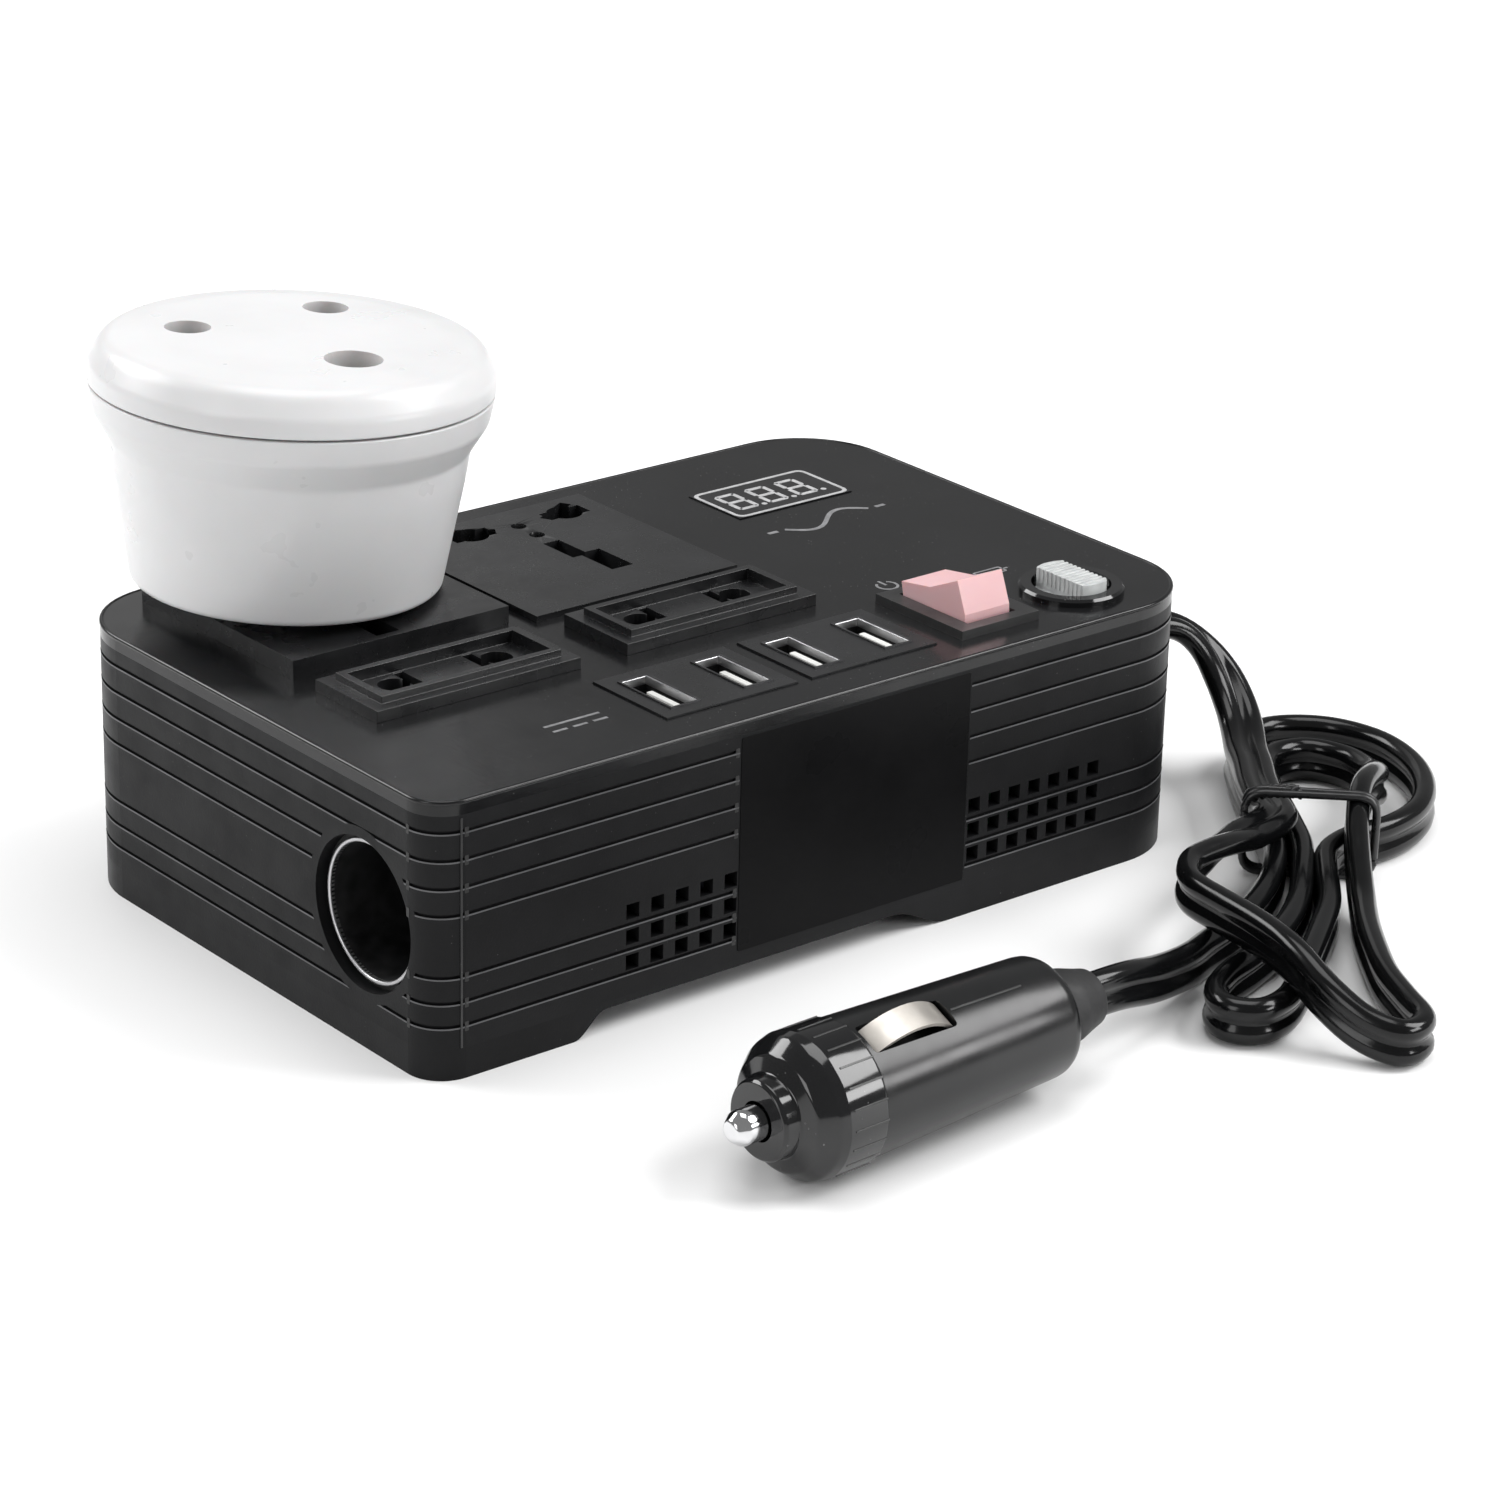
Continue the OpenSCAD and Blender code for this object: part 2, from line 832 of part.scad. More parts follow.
// one flat tube along route points: a ring of twelve corners at every point
module flat_tube(pts) {
    sides = 12;
    n = len(pts);
    ring_points = [for (i = [0:n - 1])
        let (d = along(pts, i), s = across(pts, i), u = cross(s, d))
            for (k = [0:sides - 1])
                let (a = 360 * k / sides)
                    pts[i] + s * cos(a) * cord_w / 2 + u * sin(a) * cord_t / 2];
    sides_faces = [for (i = [0:n - 2]) for (k = [0:sides - 1])
        let (k2 = (k + 1) % sides)
            [i * sides + k, i * sides + k2, (i + 1) * sides + k2, (i + 1) * sides + k]];
    start_face = [for (k = [0:sides - 1]) sides - 1 - k];
    end_face = [for (k = [0:sides - 1]) (n - 1) * sides + k];
    polyhedron(ring_points, concat([start_face], sides_faces, [end_face]), convexity = 6);
}

module cord_lead() {
    color("#101113")
    flat_tube(lead_points);
}

// band of the tie, standing across the waist of the hank
module tie_band() {
    translate([tie_pos[0], tie_pos[1], 0])
        rotate([0, 0, tie_turn])
            translate([-tie_t / 2, 0, 0])
                rotate([90, 0, 90])
                    linear_extrude(tie_t)
                        difference() {
                            translate([-tie_size[0] / 2, 0])
                                square(tie_size);
                            translate([-tie_size[0] / 2 + 1.2, 1])
                                square([tie_size[0] - 2.4, tie_size[1] - 2]);
                        }
}

// closed outer shape of the tied turns: three round lobes with a waist inside the tie
module cord_hank() {
    color("#101113")
    difference() {
        linear_extrude(hank_h)
            difference() {
                union() {
                    translate(hank_top_lobe)
                        circle(hank_top_r);
                    translate(hank_front_lobe)
                        circle(hank_front_r);
                    translate(hank_side_lobe)
                        circle(hank_side_r);
                    polygon([[38, -77], [73, -62], [84, -38], [118, -70], [90, -80],
                        [54, -124], [34, -124], [24, -108]]);
                }
                // both sides of the waist, cut back to the inside of the tie
                translate(tie_pos)
                    rotate(tie_turn)
                        for (side = [-1, 1])
                            translate([-2, side * (tie_size[0] / 2 - 1.2) - (side < 0 ? 20 : 0)])
                                square([4, 20]);
            }
        translate([tie_pos[0], tie_pos[1], -cut])
            rotate([0, 0, tie_turn])
                translate([-2, -tie_size[0], 0])
                    cube([4, 2 * tie_size[0], 1 + cut]);
        translate([tie_pos[0], tie_pos[1], tie_size[1] - 1])
            rotate([0, 0, tie_turn])
                translate([-2, -tie_size[0], 0])
                    cube([4, 2 * tie_size[0], 10]);
    }
}

module cord_tail() {
    color("#101113")
    flat_tube(tail_points);
}

module cord_tie() {
    color("#1c1d1f")
    tie_band();
}

// ---------- plug ----------

module at_plug() {
    translate([plug_tip[0], plug_tip[1], plug_rest_z])
        rotate([0, 0, plug_turn])
            children();
}

// turned shape along the plug's axis, from [distance from the tip, radius] points
module turned(points) {
    rotate([0, 90, 0])
        rotate_extrude()
            polygon([for (p = points) [p[1], p[0]]]);
}

module plug_body() {
    color("#161719")
    at_plug()
        difference() {
            turned([[ring_end_x, 3.6], [ring_end_x, plug_r - 0.3], [body_end_x - 2.5, plug_rear_r],
                [body_end_x - 0.8, plug_rear_r - 0.7], [body_end_x, plug_rear_r - 2.4],
                [body_end_x, 3.6]]);
            for (turn = [180 - contact_turn, -contact_turn])
                rotate([turn, 0, 0])
                    translate([contact_x[0], 5.5, -contact_w / 2 - 0.4])
                        cube([contact_x[1] - contact_x[0], 10, contact_w + 0.8]);
        }
}

// screw cap: rounded nose, ribbed grip ring, and a small flat face round the tip
module plug_cap() {
    color("#0e0f11")
    at_plug()
        difference() {
            turned([[nose_x, 3], [nose_x, 5.5], [nose_x + 0.5, 6], [dome_x, 6.2],
                [dome_x + 0.6, 7.4], [dome_x + 1.6, 8.8], [dome_x + 3, 9.9],
                [ring_x - 0.6, plug_r - 0.2], [ring_x, plug_r], [ring_end_x, plug_r],
                [ring_end_x, 3.8], [ring_x - 3, 3.8], [ring_x - 3, 3]]);
            for (i = [0:15])
                rotate([i * 22.5, 0, 0])
                    translate([ring_x + 0.6, -0.25, plug_r - 0.35])
                        cube([ring_end_x - ring_x, 0.5, 1]);
        }
}

module plug_tip() {
    color("#cfd2d6")
    at_plug()
        turned([[0, 0], [0.2, 1.1], [0.9, 2], [2.4, 2.6], [ring_x - 2.9, 2.65],
            [ring_x - 2.9, 3.4], [ring_x - 1.7, 3.4], [ring_x - 1.7, 0]]);
}

// coil spring behind the tip, wound by loop
module plug_spring() {
    turns = 4;
    steps = 12;
    sides = 6;
    start = ring_x - 1.6;
    long = 7;
    n = turns * steps;
    ring_points = [for (i = [0:n])
        let (a = 360 * i / steps, x = start + 0.5 + (long - 1) * i / n)
            for (k = [0:sides - 1])
                let (b = 360 * k / sides, r = 2.6 + 0.4 * cos(b))
                    [x + 0.4 * sin(b), r * cos(a), r * sin(a)]];
    faces = [for (i = [0:n - 1]) for (k = [0:sides - 1])
        let (k2 = (k + 1) % sides)
            [i * sides + k, (i + 1) * sides + k, (i + 1) * sides + k2, i * sides + k2]];
    color("#a9adb2")
    at_plug()
        polyhedron(ring_points, concat([[for (k = [0:sides - 1]) k]], faces,
            [[for (k = [0:sides - 1]) (n + 1) * sides - 1 - k]]), convexity = 8);
}

module plug_fuse() {
    color("#dfe3e6")
    at_plug()
        rod_x(ring_end_x + 5, ring_end_x + 35, 0, 0, 3.1);
}

// bowed metal strip in a slot on one side of the plug, on the far or near side of the axis
module side_contact(turn, bow) {
    chord = contact_x[1] - contact_x[0] - 1;
    bow_r = (chord * chord / 4 + bow * bow) / (2 * bow);
    at_plug()
        rotate([turn, 0, 0])
            translate([(contact_x[0] + contact_x[1]) / 2, contact_foot_r + bow - bow_r, 0])
                intersection() {
                    difference() {
                        cylinder(r = bow_r, h = contact_w, center = true, $fn = 96);
                        cylinder(r = bow_r - contact_t, h = contact_w + cut, center = true, $fn = 96);
                    }
                    translate([-chord / 2, bow_r - bow - 0.4, -contact_w])
                        cube([chord, 2 * bow, 2 * contact_w]);
                }
}

module contact_upper() {
    color("#c6c3bd")
    side_contact(180 - contact_turn, free_bow);
}

module contact_lower() {
    color("#c6c3bd")
    side_contact(-contact_turn, pressed_bow);
}

module plug_relief() {
    color("#141516")
    at_plug()
        turned([[body_end_x - 4, 0], [body_end_x - 4, 3.5], [body_end_x, 3.5], [body_end_x, 5.4],
            [body_end_x + 1.5, 5.9], [relief_end_x - 2.5, 5.4], [relief_end_x, 4.4],
            [relief_end_x, 0]]);
}

// ---------- adapter ----------

module at_adapter() {
    translate([adapter_pos[0], adapter_pos[1], adapter_z])
        rotate([0, adapter_lean, 0])
            children();
}

module adapter_base() {
    neck_z = adapter_seam - 9;
    color("#f2f2f0")
    at_adapter()
        difference() {
            rotate_extrude()
                polygon([[0, 0], [adapter_foot_r - 2, 0], [adapter_foot_r - 0.6, 0.6],
                    [adapter_foot_r, 2], [adapter_neck_r, neck_z], [adapter_neck_r + 0.9, neck_z + 2],
                    [adapter_r - 1.2, neck_z + 4.6], [adapter_r - 0.2, neck_z + 6.6],
                    [adapter_r, adapter_seam], [adapter_r - 2.4, adapter_seam],
                    [adapter_neck_r - 2.4, neck_z], [adapter_foot_r - 2.6, 3], [0, 3]]);
            for (side = [-1, 1])
                translate([side * pin_span / 2, 0, -cut])
                    cylinder(d = pin_d, h = 3 + 2 * cut);
        }
}

// centres of the three openings in the adapter's face, each with its radius
adapter_holes = [[-type_m_span / 2, type_m_y, line_hole_r], [type_m_span / 2, type_m_y, line_hole_r],
    [0, type_m_y - type_m_drop, earth_hole_r]];

module adapter_cap() {
    color("#f4f4f2")
    at_adapter()
        difference() {
            rotate_extrude()
                polygon([[0, adapter_h - 3], [0, adapter_h], [adapter_r - 6, adapter_h - 0.4],
                    [adapter_r - 3.2, adapter_h - 1], [adapter_r - 1, adapter_h - 2.4],
                    [adapter_r - 0.1, adapter_h - 4.4], [adapter_r, adapter_seam + 0.1],
                    [adapter_r - 2.4, adapter_seam + 0.1], [adapter_r - 2.4, adapter_h - 4.4],
                    [adapter_r - 5, adapter_h - 3]]);
            for (h = adapter_holes)
                translate([h[0], h[1], adapter_h - 5])
                    cylinder(r = h[2], h = 8);
        }
}

module adapter_pins() {
    color("#c9ccd0")
    at_adapter()
        for (side = [-1, 1])
            translate([side * pin_span / 2, 0, -adapter_pin_l])
                union() {
                    cylinder(d = pin_d, h = adapter_pin_l + 5);
                    translate([0, 0, adapter_pin_l + 3])
                        cylinder(d = pin_d + 2, h = 2);
                }
}

// brass tubes behind the three openings
module adapter_contacts() {
    color("#b98d3a")
    at_adapter()
        for (h = adapter_holes)
            translate([h[0], h[1], adapter_h - 22])
                difference() {
                    cylinder(r = h[2] + 0.6, h = 18);
                    translate([0, 0, 1])
                        cylinder(r = h[2] - 0.1, h = 20);
                }
}

// ---------- nodes ----------

module placed() {
    translate(origin_shift)
        children();
}

placed() top_cover();
placed() upper_shell();
placed() lower_shell();
placed() bottom_cover();
placed() case_screws();
placed() socket_a();
placed() socket_b();
placed() socket_contacts();
placed() two_pin_sockets();
placed() two_pin_contacts();
placed() usb_blocks();
placed() usb_shells();
placed() usb_tongues();
placed() display_window();
placed() display_module();
placed() switch_frame();
placed() switch_terminals();
placed() power_rocker();
placed() fuse_holder();
placed() fuse();
placed() fuse_cap();
placed() lighter_cup();
placed() lighter_sleeve();
placed() lighter_contact();
placed() main_board();
placed() transformer_core();
placed() transformer_winding();
placed() choke();
placed() capacitors();
placed() heat_sinks();
placed() transistors();
placed() fan_frame();
placed() fan_rotor();
placed() cord_bush();
placed() cord_lead();
placed() cord_hank();
placed() cord_tail();
placed() cord_tie();
placed() plug_body();
placed() plug_cap();
placed() plug_tip();
placed() plug_spring();
placed() plug_fuse();
placed() contact_upper();
placed() contact_lower();
placed() plug_relief();
placed() adapter_base();
placed() adapter_cap();
placed() adapter_pins();
placed() adapter_contacts();
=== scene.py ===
import math

import bmesh
import bpy
from mathutils import Matrix, Vector


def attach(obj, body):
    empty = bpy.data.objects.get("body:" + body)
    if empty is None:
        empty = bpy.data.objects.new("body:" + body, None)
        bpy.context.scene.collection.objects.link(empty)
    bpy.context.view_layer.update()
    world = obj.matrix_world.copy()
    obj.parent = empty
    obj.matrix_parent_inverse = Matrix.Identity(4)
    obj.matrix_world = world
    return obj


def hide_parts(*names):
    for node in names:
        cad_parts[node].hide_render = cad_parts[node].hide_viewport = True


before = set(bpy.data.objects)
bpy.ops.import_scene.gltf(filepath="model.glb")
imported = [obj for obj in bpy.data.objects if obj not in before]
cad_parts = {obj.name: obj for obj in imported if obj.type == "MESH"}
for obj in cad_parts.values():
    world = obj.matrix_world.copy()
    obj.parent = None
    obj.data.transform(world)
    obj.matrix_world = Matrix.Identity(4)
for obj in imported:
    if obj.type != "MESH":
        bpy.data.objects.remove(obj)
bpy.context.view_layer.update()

# Every piece is drawn in millimetres round the centre of the case's standing face.
# DRAWING takes it to metres, in the frame whose origin is in the middle of case and adapter.
MM = 0.001
ORIGIN_SHIFT = Vector((0, -6, 0))
DRAWING = Matrix.Scale(MM, 4) @ Matrix.Translation(ORIGIN_SHIFT)

CASE_L = 153
CASE_W = 98.5
CASE_H = 43.7
CORNER_R = 15.5
NEAR_R = 6
FRONT = -CASE_W / 2


def at(x, y, z):
    """A point of the drawing, in metres in the row frame."""
    return DRAWING @ Vector((x, y, z))


def new_object(name, data):
    """An object with this data, linked to the scene."""
    obj = bpy.data.objects.new(name, data)
    bpy.context.scene.collection.objects.link(obj)
    return obj


# ---------- camera ----------

CAMERA_AZIMUTH = math.radians(-39.707)
CAMERA_ELEVATION = math.radians(22.392)
CAMERA_ROLL = math.radians(1.414)
CAMERA_TARGET = (10.267, -14.352, 20.0)
CAMERA_DISTANCE = 0.740
SENSOR = 36
LENS = 112.08
CLIP_START = 0.01


def add_camera():
    """The photograph's own view, with its slight roll."""
    az, el, roll = CAMERA_AZIMUTH, CAMERA_ELEVATION, CAMERA_ROLL
    back = Vector((math.sin(az) * math.cos(el), -math.cos(az) * math.cos(el), math.sin(el)))
    level_right = Vector((math.cos(az), math.sin(az), 0))
    level_up = back.cross(level_right)
    right = math.cos(roll) * level_right + math.sin(roll) * level_up
    up = math.cos(roll) * level_up - math.sin(roll) * level_right
    data = bpy.data.cameras.new("camera")
    data.sensor_width = SENSOR
    data.lens = LENS
    data.clip_start = CLIP_START
    camera = new_object("camera", data)
    turn = Matrix((right, up, back)).transposed().to_4x4()
    camera.matrix_world = Matrix.Translation(at(*CAMERA_TARGET) + back * CAMERA_DISTANCE) @ turn
    bpy.context.scene.camera = camera


# ---------- materials ----------

# The part of a noise's values that each kind of mark uses.
NOISE_SPAN = (0.3, 0.7)
MOTTLE_SPAN = (0.4, 0.7)
DUST_PATCH_SPAN = (0.45, 0.62)
HAIRLINE_SPAN = (0.62, 0.7)

DUST_PATCH = 14
SPECK_CORE = 0.4
HAIRLINE = 0.6
HAIRLINE_STRETCHES = ((14, 0.25, 1), (0.3, 11, 1))
HAIRLINE_STRENGTH = 0.25


class Surface:
    """One procedural material, built round a Principled shader. Sizes are in millimetres.

    Its steps are chained: mottle(size, lightness), dust(spacing, amount, colour),
    rough(size, lowest, highest) and bump(height, depth, strength).
    """

    def __init__(self, name, color, rough, metallic=0.0, **sockets):
        self.material = bpy.data.materials.new(name)
        self.material.use_nodes = True
        self.tree = self.material.node_tree
        self.shader = self.tree.nodes["Principled BSDF"]
        self.color = tuple(color) + (1.0,)
        self.shader.inputs["Base Color"].default_value = self.color
        self.shader.inputs["Roughness"].default_value = rough
        self.shader.inputs["Metallic"].default_value = metallic
        for socket, value in sockets.items():
            self.shader.inputs[socket.replace("_", " ")].default_value = value
        self.coords = self.tree.nodes.new("ShaderNodeTexCoord").outputs["Object"]
        self.color_now = None
        self.bump_now = None

    def node(self, kind, **settings):
        node = self.tree.nodes.new(kind)
        for key, value in settings.items():
            setattr(node, key, value)
        return node

    def link(self, out, into):
        self.tree.links.new(out, into)

    def noise(self, size, detail=3.0, stretch=(1, 1, 1)):
        """Noise with features of this size, drawn out along an axis by stretch."""
        mapping = self.node("ShaderNodeMapping")
        mapping.inputs["Scale"].default_value = [1 / (size * MM * s) for s in stretch]
        self.link(self.coords, mapping.inputs["Vector"])
        noise = self.node("ShaderNodeTexNoise")
        noise.inputs["Scale"].default_value = 1.0
        noise.inputs["Detail"].default_value = detail
        self.link(mapping.outputs["Vector"], noise.inputs["Vector"])
        return noise.outputs["Fac"]

    def cells(self, size):
        """Distance to the nearest of many scattered points, this far apart."""
        cells = self.node("ShaderNodeTexVoronoi")
        cells.inputs["Scale"].default_value = 1 / (size * MM)
        self.link(self.coords, cells.inputs["Vector"])
        return cells.outputs["Distance"]

    def between(self, value, low, high, out_low=0.0, out_high=1.0):
        """value remapped so that low..high becomes out_low..out_high."""
        remap = self.node("ShaderNodeMapRange")
        for socket, number in zip(("From Min", "From Max", "To Min", "To Max"),
                                  (low, high, out_low, out_high)):
            remap.inputs[socket].default_value = number
        self.link(value, remap.inputs["Value"])
        return remap.outputs["Result"]

    def product(self, a, b):
        node = self.node("ShaderNodeMath", operation="MULTIPLY")
        self.link(a, node.inputs[0])
        self.link(b, node.inputs[1])
        return node.outputs[0]

    def tint(self, fac, color):
        """Mixes color over what is there, by fac."""
        mix = self.node("ShaderNodeMix", data_type="RGBA")
        self.link(fac, mix.inputs["Factor"])
        mix.inputs["A"].default_value = self.color
        if self.color_now is not None:
            self.link(self.color_now, mix.inputs["A"])
        mix.inputs["B"].default_value = tuple(color) + (1.0,)
        self.color_now = mix.outputs["Result"]
        self.link(self.color_now, self.shader.inputs["Base Color"])
        return self

    def mottle(self, size, light):
        """Slow change of shade, towards light times the colour."""
        lighter = [min(c * light, 1.0) for c in self.color[:3]]
        return self.tint(self.between(self.noise(size), *MOTTLE_SPAN), lighter)

    def rough(self, size, low, high, detail=3.0, stretch=(1, 1, 1)):
        """Slow change of roughness between two values."""
        fac = self.noise(size, detail, stretch)
        self.link(self.between(fac, *NOISE_SPAN, low, high), self.shader.inputs["Roughness"])
        return self

    def bump(self, height, depth, strength):
        """height is any value from 0 to 1, and depth is what 1 stands for."""
        bump = self.node("ShaderNodeBump")
        bump.inputs["Strength"].default_value = strength
        bump.inputs["Distance"].default_value = depth * MM
        self.link(height, bump.inputs["Height"])
        if self.bump_now is not None:
            self.link(self.bump_now, bump.inputs["Normal"])
        self.bump_now = bump.outputs["Normal"]
        self.link(self.bump_now, self.shader.inputs["Normal"])
        return self

    def dust(self, size, amount, color):
        """Fine specks, thicker in some patches than in others."""
        specks = self.between(self.cells(size), amount, amount * SPECK_CORE)
        patches = self.between(self.noise(DUST_PATCH), *DUST_PATCH_SPAN)
        return self.tint(self.product(specks, patches), color)

    def scratches(self, depth=0.01):
        """Hairlines in two directions, too shallow to see except in a reflection."""
        for stretch in HAIRLINE_STRETCHES:
            fine = self.between(self.noise(HAIRLINE, 1.0, stretch), *HAIRLINE_SPAN)
            self.bump(fine, depth, HAIRLINE_STRENGTH)
        return self


def black_plastics():
    top = Surface("black_gloss_top", (0.0045, 0.0046, 0.005), 0.16, IOR=1.5,
                  Specular_IOR_Level=0.33)
    top.mottle(30, 1.6).dust(1.1, 0.09, (0.16, 0.16, 0.16)).rough(9, 0.13, 0.24)
    top.bump(top.noise(5), 0.02, 0.3).scratches()

    side = Surface("black_satin_side", (0.0062, 0.0063, 0.0068), 0.42, IOR=1.5,
                   Specular_IOR_Level=0.13)
    side.mottle(22, 1.5).dust(1.5, 0.07, (0.08, 0.08, 0.08)).rough(6, 0.36, 0.5)
    side.bump(side.noise(0.35, 2.0), 0.035, 0.5)

    base = Surface("black_satin_base", (0.0062, 0.0063, 0.0068), 0.38, IOR=1.5,
                   Specular_IOR_Level=0.13)
    base.mottle(18, 1.5).dust(1.3, 0.08, (0.09, 0.09, 0.09)).rough(6, 0.32, 0.46)
    base.bump(base.noise(0.35, 2.0), 0.03, 0.45)

    socket = Surface("black_gloss_socket", (0.0075, 0.0077, 0.0083), 0.26, IOR=1.5)
    socket.mottle(12, 1.7).dust(0.9, 0.11, (0.12, 0.12, 0.12)).rough(5, 0.22, 0.36)
    socket.bump(socket.noise(0.5, 2.0), 0.012, 0.5).scratches(0.006)

    label = Surface("black_label_film", (0.004, 0.004, 0.0043), 0.3, IOR=1.5,
                    Specular_IOR_Level=0.06)
    label.mottle(26, 1.3).rough(12, 0.26, 0.36).bump(label.noise(9), 0.01, 0.2)

    # painted highlight: a light grey for the grooves' lower lips, standing in for the light their
    # rounded edges catch
    lip = Surface("painted_highlight_groove_lip", (0.085, 0.086, 0.09), 0.4, IOR=1.5)
    lip.mottle(7, 0.6).rough(4, 0.34, 0.48).bump(lip.noise(0.4), 0.01, 0.4)

    bezel = Surface("grey_black_bezel", (0.016, 0.0162, 0.0165), 0.36, IOR=1.5)
    bezel.mottle(8, 1.5).dust(0.8, 0.1, (0.15, 0.15, 0.15)).rough(3, 0.3, 0.42)
    bezel.bump(bezel.noise(0.3, 2.0), 0.02, 0.5)

    inner = Surface("black_inner_plastic", (0.006, 0.006, 0.006), 0.5, IOR=1.5)
    inner.mottle(9, 1.7).rough(3, 0.42, 0.58).bump(inner.noise(0.4), 0.02, 0.4)
    return top, side, base, socket, label, lip, bezel, inner


def plug_and_cord_plastics():
    plug = Surface("black_plug_satin", (0.0065, 0.0067, 0.007), 0.22, IOR=1.5,
                   Specular_IOR_Level=0.36)
    plug.mottle(14, 1.5).rough(6, 0.2, 0.27).bump(plug.noise(0.6, 2.0), 0.004, 0.3)

    nose = Surface("black_plug_gloss", (0.0045, 0.0046, 0.005), 0.09, IOR=1.52)
    nose.mottle(10, 1.6).dust(1.6, 0.09, (0.2, 0.2, 0.2)).rough(4, 0.07, 0.13)
    nose.bump(nose.noise(3), 0.008, 0.3)

    rubber = Surface("black_rubber", (0.009, 0.009, 0.0095), 0.62, IOR=1.45)
    rubber.mottle(5, 1.8).rough(2, 0.55, 0.7).bump(rubber.noise(0.25, 4.0), 0.03, 0.6)

    vinyl = Surface("black_cord_vinyl", (0.002, 0.0021, 0.0023), 0.13, IOR=1.5,
                    Specular_IOR_Level=0.3)
    vinyl.mottle(16, 1.8).dust(1.6, 0.06, (0.12, 0.12, 0.12)).rough(5, 0.12, 0.2)
    vinyl.bump(vinyl.noise(2.2), 0.05, 0.35).bump(vinyl.noise(0.3), 0.006, 0.4)

    tie = Surface("black_tie_wire", (0.006, 0.006, 0.0065), 0.3, IOR=1.5)
    tie.mottle(3, 2.0).rough(1.5, 0.25, 0.4).bump(tie.noise(0.5), 0.03, 0.5)
    return plug, nose, rubber, vinyl, tie


def light_plastics():
    white = Surface("white_adapter", (0.62, 0.62, 0.625), 0.3, IOR=1.48,
                    Subsurface_Weight=0.06, Subsurface_Scale=0.004)
    white.tint(white.between(white.noise(24), 0.45, 0.7), (0.59, 0.59, 0.595))
    white.rough(8, 0.26, 0.38)
    white.bump(white.noise(9), 0.03, 0.2)

    tongue = Surface("white_usb_tongue", (0.72, 0.72, 0.70), 0.35, IOR=1.48)
    tongue.mottle(5, 0.9).rough(2, 0.3, 0.42).bump(tongue.noise(0.8), 0.006, 0.3)

    rocker = Surface("pink_rocker", (0.62, 0.38, 0.39), 0.34, IOR=1.49,
                     Subsurface_Weight=0.2, Subsurface_Scale=0.002)
    rocker.tint(rocker.between(rocker.noise(14), 0.35, 0.7), (0.64, 0.42, 0.44))
    rocker.rough(3, 0.3, 0.4).bump(rocker.noise(0.6), 0.006, 0.3)

    clear = Surface("clear_fuse_cap", (0.93, 0.95, 0.95), 0.1, IOR=1.49,
                    Transmission_Weight=0.55)
    clear.mottle(2, 0.85).rough(1.2, 0.04, 0.16).bump(clear.noise(0.9), 0.06, 0.5)

    window = Surface("display_window", (0.006, 0.006, 0.0065), 0.12, IOR=1.5)
    window.mottle(9, 1.7).rough(5, 0.1, 0.18).bump(window.noise(4), 0.01, 0.25)

    print_ink = Surface("grey_print", (0.16, 0.16, 0.165), 0.45, IOR=1.45)
    print_ink.mottle(1.2, 1.5).rough(0.8, 0.38, 0.55).bump(print_ink.noise(0.2), 0.01, 0.4)

    segment = Surface("display_segments", (0.34, 0.34, 0.345), 0.4, IOR=1.45)
    segment.mottle(1.5, 1.3).rough(1, 0.35, 0.5).bump(segment.noise(0.3), 0.008, 0.3)
    return white, tongue, rocker, clear, window, print_ink, segment


def metals():
    chrome = Surface("bright_chrome", (0.66, 0.66, 0.67), 0.12, metallic=1.0)
    chrome.mottle(6, 0.85).rough(3, 0.08, 0.16).bump(chrome.noise(4), 0.004, 0.2)

    nickel = Surface("nickel_strip", (0.56, 0.53, 0.49), 0.42, metallic=1.0)
    nickel.mottle(4, 0.85).rough(2, 0.38, 0.48).bump(nickel.noise(1.2), 0.004, 0.3)

    steel = Surface("plated_steel", (0.55, 0.55, 0.56), 0.36, metallic=1.0)
    steel.mottle(6, 0.85).rough(3, 0.32, 0.42).bump(steel.noise(1.5, 2.0), 0.006, 0.3)

    dark_steel = Surface("dull_drawn_steel", (0.085, 0.085, 0.088), 0.45, metallic=1.0)
    dark_steel.mottle(4, 1.4).rough(2, 0.4, 0.52).bump(dark_steel.noise(1.5), 0.006, 0.3)

    brass = Surface("stamped_brass", (0.62, 0.45, 0.18), 0.3, metallic=1.0)
    brass.mottle(3, 0.7).rough(1.2, 0.22, 0.4).bump(brass.noise(0.35, 2.0), 0.012, 0.45)

    alloy = Surface("sawn_alloy", (0.62, 0.63, 0.64), 0.36, metallic=1.0)
    alloy.mottle(6, 0.8).rough(0.9, 0.28, 0.46, 2.0, (1, 10, 1))
    alloy.bump(alloy.noise(0.4, 2.0, (1, 12, 1)), 0.015, 0.5)
    return chrome, nickel, steel, dark_steel, brass, alloy


